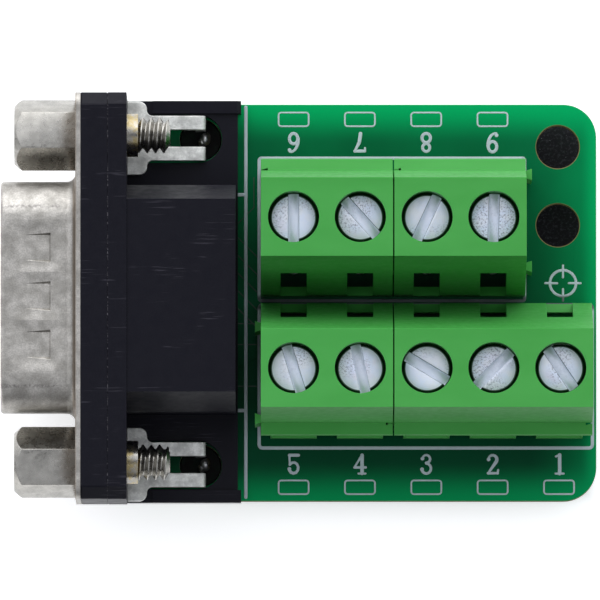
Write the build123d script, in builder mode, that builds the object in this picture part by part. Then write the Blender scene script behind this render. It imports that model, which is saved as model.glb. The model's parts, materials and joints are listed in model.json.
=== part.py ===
from build123d import *
import math
import os

# Adapter from a nine-way male D connector to two rows of screw terminals on a small board.
# Millimetres, +Z up. X runs from the connector's shell to the far end of the board, Y across it.
# The origin lies under the middle of the adapter, level with the ends of the soldered tails.

# Board
board_thickness = 1.6
board_inset = 0.3           # board's edges inside the flange's ends
board_reach = 39.8          # far end, measured from the front of the metal flange
board_corner = 2.54
board_front_gap = 0.05      # between the bracket's back and the board's near end
fixing_hole = 3.3
fixing_from_end = 2.95
fixing_from_middle = 5.95
fixing_spacing = 6.0
tail_reach = 1.9            # solder tails below the board

# Metal shell and its flange
shell_reach = 5.7
shell_width = 17.7
shell_height = 9.2
shell_corner = 3.0
side_slant = 10.0           # degrees that the short sides of the D lean
sheet = 0.4
shell_root = 0.7            # radius where the shell rises out of the flange
shell_lip = 0.25
flange_past_jack = 3.005    # from a jack's axis to the flange's end
flange_height = 12.5
flange_corner = 1.0
flange_lift = 0.05          # between the board's top and the flange's lower edge
dimple_size = 1.9
dimple_depth = 0.22
dimple_setback = 1.9        # from the flange to the deep end of a dimple
dimple_pitch = 3.7

# Insulator behind the flange, and the bracket behind the insulator
insulator_depth = 2.06
bracket_depth = 1.44
layer_chamfer = 0.92
nose_reach = 0.3            # insulator's face ahead of the flange
nose_clearance = 0.05
wing_length = 8.45
wing_height = 1.6
wing_inset = 0.12           # wings' outer sides inside the flange's ends
rim_width = 0.95
rim_overhang = 0.25
rim_rise = 0.3
slot_width = 3.7
slot_reach = 7.25           # from the bracket's back to the round end of the slot
hood_length = 8.3
hood_inset = 0.2            # hood's sides inside the shell's width
hood_lean = 1.3             # run of each leaning side
hood_shoulder = 7.3         # height above the board at which its sides start to lean
hood_top = 12.4
hood_wall = 0.75
hood_side_wall = 2.05

# Contacts of the D connector
pin_side_room = 3.31        # from the end pins to the shell's sides, with 2.77 from pin to pin
pin_row_offset = 1.42
pin_diameter = 1.0
pin_recess = 0.6            # pin tips behind the shell's lip
pin_shoulder = 1.5          # depth of the thick part inside the insulator
pin_point = 0.45            # length of the tapered point
pin_point_inset = 0.27
tail_diameter = 0.7
tail_bend = 1.0
upper_tail_reach = 11.0     # from the flange's front to the tails of the row of five
lower_tail_reach = 8.16
tail_hole = 1.0
pin_clearance = 0.03

# Jack sockets, and the forked locks that hold the connector down
jack_past_shell = 3.645     # from the shell's side to a jack's axis, 24.99 between the two
jack_flats = 4.76
jack_sides = 6
jack_head = 4.7
jack_chamfer = 0.6
jack_bore = 2.26
jack_bore_depth = 5.5
jack_countersink = 0.3
jack_face_bevel = 0.15
jack_collar = 3.3
jack_collar_end = 0.85      # collar behind the bracket's plate
jack_thread = 2.7
jack_thread_end = 3.3       # end of the screw behind the bracket's plate
jack_clearance = 0.05
upper_jack_turn = -7.0
lower_jack_turn = 10.9
lock_thickness = 0.8
lock_head_width = 5.62
lock_head_length = 1.5
lock_head_corner = 0.6
lock_neck_radius = 0.43
lock_width = 3.44
lock_slot = 1.3
lock_slot_start = 0.9
lock_reach = 6.0
lock_bend = 0.35
lock_leg_width = 0.7
lock_hole = 3.2

# Screw terminals: u points out towards the wires, z is height above the board
pole_pitch = 5.08
first_pole_reach = 16.62    # from the flange's front to the poles next to the connector
upper_axis_offset = 5.9     # from the adapter's middle to each row of screws
lower_axis_offset = 5.6
module_gap = 0.1
block_height = 14.0
block_rear = 5.43
block_rear_knee = 3.0
block_top_half = 3.0
block_waist = 3.9
block_waist_height = 6.9
block_ledge = 4.75
block_ledge_height = 6.5
block_front = 4.83
block_front_height = 6.2
well_diameter = 3.9
room_width = 4.36
room_half_depth = 2.1
room_top = 10.95
leg_room_rear = 3.52
leg_room_width = 2.7
leg_room_top = 6.5
entry_width = 2.9
entry_floor = 1.9
entry_top = 5.5
entry_chamfer = 0.28
window_width = 2.0
window_sill = 4.4
window_top = 9.1
window_ramp_depth = 0.66
window_ramp_foot = 1.5
window_ramp_rise = 0.5
relief_width = 1.54
relief_depth = 0.63
relief_top = 5.9
rib_width = 0.86
rib_root = 0.56
rib_proud = 0.46
rib_top = 6.9
rib_foot = 0.4
front_rib_offset = 3.58
rear_rib_offset = 3.45
rib_clearance = 0.06

# Terminal screws
head_diameter = 3.75
head_face = 3.45
head_bevel = 0.15
head_height = 1.4
head_depth = 1.6            # top of the head below the block's top
drive_slot = 0.79
drive_slot_depth = 0.65
screw_diameter = 2.5
screw_tip_bevel = 0.35
screw_gap = 0.05            # between the screw's tip and the contact bar

# Rising clamps and contacts
cage_width = 4.2
cage_depth = 4.0
cage_wall = 0.7
cage_floor = 1.2
cage_top_wall = 1.2
cage_top = 7.8
cage_corner = 0.3
cage_bore_clearance = 0.06
bar_bottom = 5.6
bar_thickness = 0.8
bar_width = 2.6
bar_front = 2.0
leg_rear = 3.42
leg_thickness = 0.8
leg_foot = 0.2
bar_bend = 0.35
tail_pin_width = 1.0
terminal_hole = 1.4

# Solder
solder_height = 1.1
solder_foot = 0.85
solder_neck = 0.45
terminal_solder_foot = 1.25
terminal_solder_neck = 0.75
lock_solder_foot = 2.2
lock_solder_neck = 1.7
solder_gap = 0.02

# Reach of a cut beyond the wall that it opens
cut_margin = 0.8

# Slot directions of the terminal screws, in degrees from +X, by pole number
slot_turns = {1: -56, 2: 45, 3: -31, 4: 102, 5: -73, 6: 90, 7: -48, 8: 65, 9: 88}

# Levels and stations that follow
board_bottom = tail_reach
board_top = board_bottom + board_thickness
flange_front = (shell_reach - board_reach) / 2
shell_front = flange_front - shell_reach
insulator_front = flange_front + sheet
bracket_front = insulator_front + insulator_depth
bracket_back = bracket_front + bracket_depth
board_near = bracket_back + board_front_gap
board_far = flange_front + board_reach
axis_z = board_top + flange_lift + flange_height / 2
pin_pitch = (shell_width - 2 * pin_side_room) / 4
jack_y = shell_width / 2 + jack_past_shell
flange_width = 2 * (jack_y + flange_past_jack)
board_width = flange_width - 2 * board_inset
wing_width = flange_width - 2 * wing_inset
hood_width = shell_width - 2 * hood_inset
hood_top_width = hood_width - 2 * hood_lean
hood_room_width = hood_width - 2 * hood_side_wall
wing_end = bracket_back + wing_length
lock_z = board_top + wing_height
lock_leg_x = bracket_back + lock_reach - lock_thickness / 2
lock_leg_y = (lock_slot + lock_leg_width) / 2
screw_top = board_top + block_height - head_depth
bar_top = board_top + bar_bottom + bar_thickness
leg_u = -(leg_rear - leg_thickness / 2)
fixing_x = board_far - fixing_from_end
fixing_places = [(fixing_x, fixing_from_middle + i * fixing_spacing) for i in range(2)]


def pin_place(number):
    """Y, Z and tail X of one pin, numbered as the mating side is read."""
    if number <= 5:
        return (3 - number) * pin_pitch, axis_z + pin_row_offset, flange_front + upper_tail_reach
    return (7.5 - number) * pin_pitch, axis_z - pin_row_offset, flange_front + lower_tail_reach


def pole_place(number):
    """X and Y of a pole's screw axis, and the side (+1 or -1) on which its wire enters."""
    first = flange_front + first_pole_reach
    if number <= 5:
        return first + (5 - number) * pole_pitch, -lower_axis_offset, -1
    return first + (number - 6) * pole_pitch, upper_axis_offset, 1


pins = range(1, 10)
poles = range(1, 10)
tail_places = [(pin_place(n)[2], pin_place(n)[0]) for n in pins]
leg_places = [(pole_place(n)[0], pole_place(n)[1] + pole_place(n)[2] * leg_u) for n in poles]
lock_places = [(lock_leg_x, side * jack_y) for side in (1, -1)]


def across(x, y=0, z=axis_z):
    """Plane that faces +X, with Y to its right and Z up."""
    return Plane(origin=(x, y, z), x_dir=(0, 1, 0), z_dir=(1, 0, 0))


def d_outline(width, height, radius):
    """Outline of a D connector, wide side up."""
    lean = math.radians(side_slant)
    top = width / 2 - radius + radius * (1 + math.sin(lean)) / math.cos(lean)
    bottom = top - height * math.tan(lean)
    with BuildSketch() as outline:
        with BuildLine():
            Polyline(
                (-top, height / 2),
                (top, height / 2),
                (bottom, -height / 2),
                (-bottom, -height / 2),
                close=True,
            )
        make_face()
        fillet(outline.vertices(), radius)
    return outline.sketch


def make_board():
    """Drilled board with two rounded corners at its far end."""
    with BuildPart() as board:
        with BuildSketch(Plane.XY.offset(board_bottom)) as outline:
            with Locations(((board_near + board_far) / 2, 0)):
                Rectangle(board_far - board_near, board_width)
            fillet(outline.vertices().group_by(Axis.X)[-1], board_corner)
            with Locations(*fixing_places):
                Circle(fixing_hole / 2, mode=Mode.SUBTRACT)
            with Locations(*lock_places):
                Circle(lock_hole / 2, mode=Mode.SUBTRACT)
            with Locations(*tail_places):
                Circle(tail_hole / 2, mode=Mode.SUBTRACT)
            with Locations(*leg_places):
                Circle(terminal_hole / 2, mode=Mode.SUBTRACT)
        extrude(amount=board_thickness)
    return board.part


def make_shell():
    """Drawn steel D shell with its flange, stamped dimples and two jack holes."""
    with BuildPart() as shell:
        with BuildSketch(across(flange_front)):
            RectangleRounded(flange_width, flange_height, flange_corner)
        extrude(amount=sheet)
        with BuildSketch(across(shell_front)):
            add(d_outline(shell_width, shell_height, shell_corner))
        extrude(amount=shell_reach + sheet / 2)
        fillet(shell.edges(Select.LAST).group_by(Axis.X)[-1], shell_root)
        fillet(shell.faces().sort_by(Axis.X)[0].edges(), shell_lip)
        with BuildSketch(across(shell_front)):
            add(d_outline(shell_width - 2 * sheet, shell_height - 2 * sheet, shell_corner - sheet))
        extrude(amount=shell_reach + sheet, mode=Mode.SUBTRACT)
        deep = flange_front - dimple_setback
        for side, offsets in ((1, (-1, 0, 1)), (-1, (-0.5, 0.5))):
            skin = axis_z + side * shell_height / 2
            lining = skin - side * sheet
            for k in offsets:
                with BuildSketch(Plane.XZ.offset(-k * dimple_pitch)):
                    with BuildLine():
                        Polyline(
                            (deep - dimple_size, lining),
                            (deep, lining - side * dimple_depth),
                            (deep, lining + side * sheet / 2),
                            (deep - dimple_size, lining + side * sheet / 2),
                            close=True,
                        )
                    make_face()
                extrude(amount=dimple_size / 2, both=True)
                with BuildSketch(Plane.XZ.offset(-k * dimple_pitch)):
                    with BuildLine():
                        Polyline(
                            (deep - dimple_size, skin),
                            (deep, skin - side * dimple_depth),
                            (deep, skin + side * sheet),
                            (deep - dimple_size, skin + side * sheet),
                            close=True,
                        )
                    make_face()
                extrude(amount=dimple_size / 2, both=True, mode=Mode.SUBTRACT)
        with BuildSketch(across(flange_front)):
            with Locations((-jack_y, 0), (jack_y, 0)):
                Circle(jack_collar / 2 + jack_clearance)
        extrude(amount=sheet, mode=Mode.SUBTRACT)
    return shell.part


def layer_outline():
    """Outline of a plastic layer behind the flange, with its corners cut off."""
    with BuildSketch() as outline:
        Rectangle(flange_width, flange_height)
        chamfer(outline.vertices(), layer_chamfer)
        with Locations((-jack_y, 0), (jack_y, 0)):
            Circle(jack_collar / 2 + jack_clearance, mode=Mode.SUBTRACT)
    return outline.sketch


def pin_points():
    """Places of the nine pins on a plane across the connector's axis."""
    return [(pin_place(n)[0], pin_place(n)[1] - axis_z) for n in pins]


def make_insulator():
    """Front plastic layer, with the nose that fills the root of the shell and the pin bores."""
    with BuildPart() as insulator:
        with BuildSketch(across(insulator_front)):
            add(layer_outline())
        extrude(amount=insulator_depth)
        trim = 2 * (sheet + nose_clearance)
        radius = shell_corner - sheet - nose_clearance
        with BuildSketch(across(flange_front - nose_reach)):
            add(d_outline(shell_width - trim, shell_height - trim, radius))
        extrude(amount=nose_reach + sheet + insulator_depth / 2)
        with BuildSketch(across(flange_front - nose_reach)):
            with Locations(*pin_points()):
                Circle(pin_diameter / 2 + pin_clearance)
        extrude(amount=nose_reach + sheet + insulator_depth, mode=Mode.SUBTRACT)
    return insulator.part


def make_bracket():
    """Rear plastic layer with its hood over the tails and the two slotted wings on the board."""
    with BuildPart() as bracket:
        with BuildSketch(across(bracket_front)):
            add(layer_outline())
        extrude(amount=bracket_depth)
        with BuildSketch(Plane.XY.offset(board_top)):
            with Locations((bracket_back + wing_length / 2, 0)):
                Rectangle(wing_length, wing_width)
        extrude(amount=wing_height)
        rim_start = bracket_back + lock_head_length + lock_neck_radius
        rim_end = wing_end + rim_overhang
        rim_y = (wing_width - rim_width) / 2
        with BuildSketch(Plane.XY.offset(board_top)):
            with Locations(((rim_start + rim_end) / 2, rim_y), ((rim_start + rim_end) / 2, -rim_y)):
                Rectangle(rim_end - rim_start, rim_width)
        extrude(amount=wing_height + rim_rise)
        with BuildSketch(across(bracket_back, z=board_top)):
            with BuildLine():
                Polyline(
                    (-hood_width / 2, 0),
                    (-hood_width / 2, hood_shoulder),
                    (-hood_top_width / 2, hood_top),
                    (hood_top_width / 2, hood_top),
                    (hood_width / 2, hood_shoulder),
                    (hood_width / 2, 0),
                    close=True,
                )
            make_face()
        extrude(amount=hood_length)
        chamfer(bracket.edges().filter_by(Axis.Y).group_by(Axis.X)[-1].sort_by(Axis.Z)[-1], rim_rise)
        with BuildSketch(Plane.XY.offset(board_top)):
            centre = bracket_back + slot_reach - slot_width / 2
            for side in (1, -1):
                with Locations(((bracket_back + centre) / 2, side * jack_y)):
                    Rectangle(centre - bracket_back, slot_width)
                with Locations((centre, side * jack_y)):
                    Circle(slot_width / 2)
        extrude(amount=wing_height + rim_rise, mode=Mode.SUBTRACT)
        with BuildSketch(Plane.XY.offset(board_top)):
            with Locations((bracket_back + (hood_length - hood_wall) / 2, 0)):
                Rectangle(hood_length - hood_wall, hood_room_width)
        extrude(amount=hood_top - hood_wall, mode=Mode.SUBTRACT)
        with BuildSketch(across(bracket_front)):
            with Locations(*pin_points()):
                Circle(tail_diameter / 2 + pin_clearance)
        extrude(amount=bracket_depth, mode=Mode.SUBTRACT)
    return bracket.part


def make_pin(number):
    """Round contact pin whose thinner tail bends down through the board."""
    y, z, tail_x = pin_place(number)
    tip_x = shell_front + pin_recess
    shoulder_x = insulator_front + pin_shoulder
    bend_x = tail_x - tail_bend
    with BuildPart() as pin:
        with BuildSketch(across(tip_x, y, z)):
            Circle(pin_diameter / 2)
        extrude(amount=shoulder_x - tip_x)
        chamfer(pin.faces().sort_by(Axis.X)[0].edges(), pin_point, pin_point_inset)
        with BuildSketch(across(insulator_front, y, z)):
            Circle(tail_diameter / 2)
        extrude(amount=bend_x - insulator_front)
        with BuildSketch(across(bend_x, y, z)):
            Circle(tail_diameter / 2)
        revolve(axis=Axis((bend_x, y, z - tail_bend), (0, 1, 0)), revolution_arc=90)
        with BuildSketch(Plane(origin=(tail_x, y, 0), z_dir=(0, 0, 1))):
            Circle(tail_diameter / 2)
        extrude(amount=z - tail_bend)
    return pin.part


def make_jack(side, turn):
    """Hexagonal jack socket with a tapped bore in front and a screw behind."""
    y = side * jack_y
    with BuildPart() as jack:
        with BuildSketch(across(flange_front, y)):
            RegularPolygon(jack_flats / 2, jack_sides, major_radius=False, rotation=turn)
        extrude(amount=-jack_head)
        corner = jack_flats / 2 / math.cos(math.pi / jack_sides)
        front = flange_front - jack_head
        with BuildSketch(Plane(origin=(0, y, axis_z), x_dir=(1, 0, 0), z_dir=(0, -1, 0))):
            with BuildLine():
                Polyline(
                    (front, 0),
                    (front, jack_flats / 2 - jack_face_bevel),
                    (front + jack_chamfer, corner),
                    (flange_front, corner),
                    (flange_front, 0),
                    close=True,
                )
            make_face()
        revolve(axis=Axis((0, y, axis_z), (1, 0, 0)), mode=Mode.INTERSECT)
        with BuildSketch(across(flange_front, y)):
            Circle(jack_collar / 2)
        extrude(amount=bracket_back + jack_collar_end - flange_front)
        with BuildSketch(across(flange_front, y)):
            Circle(jack_thread / 2)
        extrude(amount=bracket_back + jack_thread_end - flange_front)
        chamfer(jack.faces().sort_by(Axis.X)[-1].edges(), jack_countersink)
        with BuildSketch(across(front, y)):
            Circle(jack_bore / 2)
        extrude(amount=jack_bore_depth, mode=Mode.SUBTRACT)
        mouth = jack.faces().sort_by(Axis.X)[0].inner_wires()[0].edges()
        chamfer(mouth, jack_countersink)
    return jack.part


def make_lock(side):
    """Forked sheet lock: a head against the bracket, two arms, and two legs down through the board."""
    y = side * jack_y
    with BuildPart() as lock:
        with BuildSketch(Plane.XY.offset(lock_z)) as plan:
            with Locations((bracket_back + lock_head_length / 2, y)):
                Rectangle(lock_head_length, lock_head_width)
            with Locations((bracket_back + lock_reach / 2, y)):
                Rectangle(lock_reach, lock_width)
            corners = plan.vertices().group_by(Axis.X)[1].sort_by(Axis.Y)
            fillet([corners[0], corners[-1]], lock_head_corner)
            necks = plan.vertices().filter_by_position(
                Axis.X, bracket_back + lock_head_length, bracket_back + lock_head_length
            )
            inner = [v for v in necks if abs(v.Y - y) < lock_width / 2 + lock_neck_radius]
            fillet(inner, lock_neck_radius)
            slot_start = bracket_back + lock_slot_start
            slot_end = bracket_back + lock_reach
            with Locations(((slot_start + slot_end) / 2, y)):
                Rectangle(slot_end - slot_start, lock_slot, mode=Mode.SUBTRACT)
        extrude(amount=lock_thickness)
        with BuildSketch(Plane.XY.offset(lock_z + lock_thickness)):
            with Locations((lock_leg_x, y - lock_leg_y), (lock_leg_x, y + lock_leg_y)):
                Rectangle(lock_thickness, lock_leg_width)
        extrude(amount=-(lock_z + lock_thickness))
        crown = lock.edges().filter_by(Axis.Y).group_by(Axis.X)[-1].group_by(Axis.Z)[-1]
        fillet(crown, lock_bend)
    return lock.part


def row_plane(x, axis_y, side):
    """Plane across a terminal row: u outwards, height up, its normal along the row."""
    return Plane(origin=(x, axis_y, board_top), x_dir=(0, side, 0), z_dir=(side, 0, 0))


def rib_outline(grow):
    """Two dovetails on the end face of a module, narrow at the root."""
    with BuildSketch() as ribs:
        for u in (front_rib_offset, -rear_rib_offset):
            with BuildLine():
                Polyline(
                    (u - rib_root / 2 - grow, 0),
                    (u - rib_width / 2 - grow, rib_proud + grow),
                    (u + rib_width / 2 + grow, rib_proud + grow),
                    (u + rib_root / 2 + grow, 0),
                    close=True,
                )
            make_face()
    return ribs.sketch


def make_housing(numbers):
    """Moulded body of one terminal module, with grooves at its first pole and ribs at its last."""
    first_x, axis_y, side = pole_place(numbers[0])
    width = len(numbers) * pole_pitch - module_gap
    start = first_x - side * (pole_pitch - module_gap) / 2
    finish = start + side * width
    with BuildPart() as housing:
        with BuildSketch(row_plane(start, axis_y, side)):
            with BuildLine():
                Polyline(
                    (-block_rear, 0),
                    (-block_rear, block_rear_knee),
                    (-block_top_half, block_height),
                    (block_top_half, block_height),
                    (block_waist, block_waist_height),
                    (block_ledge, block_ledge_height),
                    (block_front, block_front_height),
                    (block_front, 0),
                    close=True,
                )
            make_face()
        extrude(amount=width)
        ribs_plane = Plane(origin=(finish, axis_y, board_top + rib_foot), x_dir=(0, side, 0), z_dir=(0, 0, -1))
        with BuildSketch(ribs_plane):
            add(rib_outline(0))
        extrude(amount=-(rib_top - rib_foot))
        groove_plane = Plane(origin=(start, axis_y, board_top), x_dir=(0, side, 0), z_dir=(0, 0, -1))
        with BuildSketch(groove_plane):
            add(rib_outline(rib_clearance))
        extrude(amount=-(rib_top + rib_clearance), mode=Mode.SUBTRACT)
        for number in numbers:
            x = pole_place(number)[0]
            cell = Plane(origin=(x, axis_y, board_top), x_dir=(0, side, 0), z_dir=(0, 0, 1))
            with BuildSketch(cell):
                Rectangle(2 * room_half_depth, room_width)
            extrude(amount=room_top, mode=Mode.SUBTRACT)
            with BuildSketch(cell):
                with Locations((-leg_room_rear / 2, 0)):
                    Rectangle(leg_room_rear, leg_room_width)
            extrude(amount=leg_room_top, mode=Mode.SUBTRACT)
            with BuildSketch(cell.offset(block_height)):
                Circle(well_diameter / 2)
            extrude(amount=-(block_height - room_top + cut_margin), mode=Mode.SUBTRACT)
            with BuildSketch(row_plane(x, axis_y, side)):
                with BuildLine():
                    Polyline(
                        (-block_rear - cut_margin, window_ramp_foot),
                        (-block_rear, window_ramp_foot),
                        (-block_rear + window_ramp_depth, window_ramp_foot + window_ramp_rise),
                        (-block_rear + window_ramp_depth, 0),
                        (-leg_room_rear, 0),
                        (-leg_room_rear, window_sill),
                        (-room_half_depth, window_sill),
                        (-room_half_depth, window_top),
                        (-block_rear - cut_margin, window_top),
                        close=True,
                    )
                make_face()
            extrude(amount=window_width / 2, both=True, mode=Mode.SUBTRACT)
            entry = Plane(
                origin=(x, axis_y + side * block_front, board_top + (entry_floor + entry_top) / 2),
                x_dir=(side, 0, 0),
                z_dir=(0, -side, 0),
            )
            with BuildSketch(entry):
                Rectangle(entry_width, entry_top - entry_floor)
            extrude(amount=block_front - room_half_depth, mode=Mode.SUBTRACT)
            with BuildSketch(entry):
                Rectangle(entry_width + 2 * entry_chamfer, entry_top - entry_floor + 2 * entry_chamfer)
            with BuildSketch(entry.offset(entry_chamfer)):
                Rectangle(entry_width, entry_top - entry_floor)
            loft(mode=Mode.SUBTRACT)
            with BuildSketch(cell):
                for step in (-1, 1):
                    with Locations((block_front - relief_depth / 2, step * (pole_pitch - relief_width / 2) / 2)):
                        Rectangle(relief_depth, relief_width / 2)
            extrude(amount=relief_top, mode=Mode.SUBTRACT)
    return housing.part


def make_screw(number):
    """Slotted terminal screw, its tip just above the contact bar."""
    x, y, side = pole_place(number)
    tip = bar_top + screw_gap
    with BuildPart() as screw:
        with BuildSketch(Plane(origin=(x, y, 0), x_dir=(1, 0, 0), z_dir=(0, -1, 0))):
            with BuildLine():
                Polyline(
                    (0, tip),
                    (screw_diameter / 2 - screw_tip_bevel, tip),
                    (screw_diameter / 2, tip + screw_tip_bevel),
                    (screw_diameter / 2, screw_top - head_height),
                    (head_diameter / 2, screw_top - head_height),
                    (head_diameter / 2, screw_top - head_bevel),
                    (head_face / 2, screw_top),
                    (0, screw_top),
                    close=True,
                )
            make_face()
        revolve(axis=Axis((x, y, 0), (0, 0, 1)))
        turn = math.radians(slot_turns[number])
        slot = Plane(origin=(x, y, screw_top), x_dir=(math.cos(turn), math.sin(turn), 0), z_dir=(0, 0, 1))
        with BuildSketch(slot):
            Rectangle(head_diameter + cut_margin, drive_slot)
        extrude(amount=-drive_slot_depth, mode=Mode.SUBTRACT)
    return screw.part


def make_cage(number):
    """Square loop that the screw lifts, with a tapped top wall; shown fully open."""
    x, y, side = pole_place(number)
    height = cage_top - cage_floor
    middle = board_top + cage_floor + height / 2
    with BuildPart() as cage:
        mouth = Plane(origin=(x, y - side * cage_depth / 2, middle), x_dir=(-side, 0, 0), z_dir=(0, side, 0))
        with BuildSketch(mouth):
            RectangleRounded(cage_width, height, cage_corner)
            with Locations((0, (cage_wall - cage_top_wall) / 2)):
                Rectangle(cage_width - 2 * cage_wall, height - cage_wall - cage_top_wall, mode=Mode.SUBTRACT)
        extrude(amount=cage_depth)
        with BuildSketch(Plane(origin=(x, y, board_top + cage_top), z_dir=(0, 0, 1))):
            Circle(screw_diameter / 2 + cage_bore_clearance)
        extrude(amount=-cage_top_wall, mode=Mode.SUBTRACT)
    return cage.part


def make_contact(number):
    """Contact bar through the clamp, bent down behind it into a solder pin."""
    x, y, side = pole_place(number)
    with BuildPart() as contact:
        with BuildSketch(row_plane(x, y, side)):
            with BuildLine():
                Polyline(
                    (bar_front, bar_bottom),
                    (bar_front, bar_bottom + bar_thickness),
                    (-leg_rear, bar_bottom + bar_thickness),
                    (-leg_rear, leg_foot),
                    (-leg_rear + leg_thickness, leg_foot),
                    (-leg_rear + leg_thickness, bar_bottom),
                    close=True,
                )
            make_face()
        extrude(amount=bar_width / 2, both=True)
        bend = contact.edges().filter_by(Axis.X).group_by(Axis.Z)[-1]
        rear = bend.sort_by(Axis.Y)[0] if side > 0 else bend.sort_by(Axis.Y)[-1]
        fillet(rear, bar_bend)
        with BuildSketch(Plane(origin=(x, y + side * leg_u, board_top + leg_foot), z_dir=(0, 0, 1))):
            Rectangle(tail_pin_width, leg_thickness)
        extrude(amount=-(board_top + leg_foot))
    return contact.part


def make_solder():
    """Solder cones under the board, and the plugs round the legs of the two locks."""
    with BuildPart() as solder:
        with Locations(*[(px, py, board_bottom) for px, py in tail_places]):
            Cone(solder_neck, solder_foot, solder_height, align=(Align.CENTER, Align.CENTER, Align.MAX))
            Cylinder(
                tail_diameter / 2 + solder_gap,
                solder_height + cut_margin,
                align=(Align.CENTER, Align.CENTER, Align.MAX),
                mode=Mode.SUBTRACT,
            )
        with Locations(*[(px, py, board_bottom) for px, py in leg_places]):
            Cone(
                terminal_solder_neck,
                terminal_solder_foot,
                solder_height,
                align=(Align.CENTER, Align.CENTER, Align.MAX),
            )
            Box(
                tail_pin_width + 2 * solder_gap,
                leg_thickness + 2 * solder_gap,
                solder_height + cut_margin,
                align=(Align.CENTER, Align.CENTER, Align.MAX),
                mode=Mode.SUBTRACT,
            )
        with Locations(*[(px, py, board_bottom) for px, py in lock_places]):
            Cone(
                lock_solder_neck,
                lock_solder_foot,
                solder_height,
                align=(Align.CENTER, Align.CENTER, Align.MAX),
            )
            Cylinder(
                lock_hole / 2 - solder_gap,
                board_thickness,
                align=(Align.CENTER, Align.CENTER, Align.MIN),
            )
        legs = [(px, py + k * lock_leg_y, board_bottom) for px, py in lock_places for k in (-1, 1)]
        with Locations(*legs):
            Box(
                lock_thickness + 2 * solder_gap,
                lock_leg_width + 2 * solder_gap,
                2 * (board_thickness + cut_margin),
                mode=Mode.SUBTRACT,
            )
    return solder.part


os.makedirs("parts", exist_ok=True)

pieces = {
    "circuit_board": make_board(),
    "dsub_shell": make_shell(),
    "dsub_insulator": make_insulator(),
    "dsub_bracket": make_bracket(),
    "jack_socket_upper": make_jack(1, upper_jack_turn),
    "jack_socket_lower": make_jack(-1, lower_jack_turn),
    "board_lock_upper": make_lock(1),
    "board_lock_lower": make_lock(-1),
    "terminal_housing_6_7": make_housing([6, 7]),
    "terminal_housing_8_9": make_housing([8, 9]),
    "terminal_housing_1_3": make_housing([1, 2, 3]),
    "terminal_housing_4_5": make_housing([4, 5]),
    "solder_joints": make_solder(),
}
for number in pins:
    pieces[f"dsub_pin_{number}"] = make_pin(number)
for number in poles:
    pieces[f"terminal_screw_{number}"] = make_screw(number)
    pieces[f"clamp_cage_{number}"] = make_cage(number)
    pieces[f"terminal_contact_{number}"] = make_contact(number)

for name, piece in pieces.items():
    piece.label = name
    export_step(piece, f"parts/{name}.step")
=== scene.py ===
"""Dresses a D connector adapter: finishes, rounded edges, threads, print, solder and the studio."""

import json
import math

import bmesh
import bpy
from mathutils import Matrix, Vector


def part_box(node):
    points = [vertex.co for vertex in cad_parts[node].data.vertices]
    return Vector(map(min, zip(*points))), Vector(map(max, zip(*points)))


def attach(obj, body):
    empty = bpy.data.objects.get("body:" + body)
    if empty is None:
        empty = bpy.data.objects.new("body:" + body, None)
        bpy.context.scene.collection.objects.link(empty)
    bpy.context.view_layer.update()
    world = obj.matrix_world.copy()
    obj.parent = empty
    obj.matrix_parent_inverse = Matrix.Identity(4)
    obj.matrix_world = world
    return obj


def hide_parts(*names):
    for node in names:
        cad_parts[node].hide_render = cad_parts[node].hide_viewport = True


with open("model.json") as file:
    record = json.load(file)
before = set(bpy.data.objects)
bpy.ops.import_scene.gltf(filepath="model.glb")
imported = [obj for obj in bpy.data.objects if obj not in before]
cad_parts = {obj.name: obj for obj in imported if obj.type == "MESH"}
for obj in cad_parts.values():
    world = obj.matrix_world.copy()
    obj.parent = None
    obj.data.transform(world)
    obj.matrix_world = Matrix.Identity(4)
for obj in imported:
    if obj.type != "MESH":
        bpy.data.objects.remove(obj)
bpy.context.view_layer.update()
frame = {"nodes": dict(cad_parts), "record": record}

bl_info = {
    "name": "D connector adapter",
    "version": (1, 0, 0),
    "blender": (4, 5, 0),
    "location": "3D View > Sidebar > Adapter",
    "description": "Dresses a nine-way D connector adapter with screw terminals",
    "category": "Object",
}

MM = 0.001
RECORD = frame["record"]
BODY_OF = {node: body for body, nodes in RECORD["behaviour"]["bodies"].items() for node in nodes}
SLOT_OF = {part["node"]: part["material_slot"] for part in RECORD["subparts"]}
MOUNTS = {mount["name"]: mount for mount in RECORD["mounts"]}
ROOT = BODY_OF["circuit_board"]
POLES = range(1, 10)
FIRST_UPPER_POLE = 6
SIDES = ("upper", "lower")


# Places on the solid model, in millimetres

TAIL_INSET = 0.35
LEG_INSET = 0.4


def box(node):
    """Lowest and highest corner of a CAD node."""
    low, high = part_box(node)
    return low / MM, high / MM


def axis_of(pole):
    """Centre of a pole's screw."""
    low, high = box(f"terminal_screw_{pole}")
    return (low + high) / 2


def tail_of(number):
    """Centre of a connector pin's tail, seen from above."""
    low, high = box(f"dsub_pin_{number}")
    return high.x - TAIL_INSET, (low.y + high.y) / 2


def leg_of(pole):
    """Centre of a terminal contact's leg, seen from above."""
    low, high = box(f"terminal_contact_{pole}")
    inner = high.y - LEG_INSET if pole < FIRST_UPPER_POLE else low.y + LEG_INSET
    return (low.x + high.x) / 2, inner


def fork_of(side):
    """Centre of a board lock's legs, seen from above."""
    low, high = box(f"board_lock_{side}")
    return high.x - LEG_INSET, (low.y + high.y) / 2


BOARD_LOW, BOARD_HIGH = box("circuit_board")
BRACKET_LOW, BRACKET_HIGH = box("dsub_bracket")
UPPER_ROW = [axis_of(pole) for pole in POLES if pole >= FIRST_UPPER_POLE]
LOWER_ROW = [axis_of(pole) for pole in POLES if pole < FIRST_UPPER_POLE]

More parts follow.
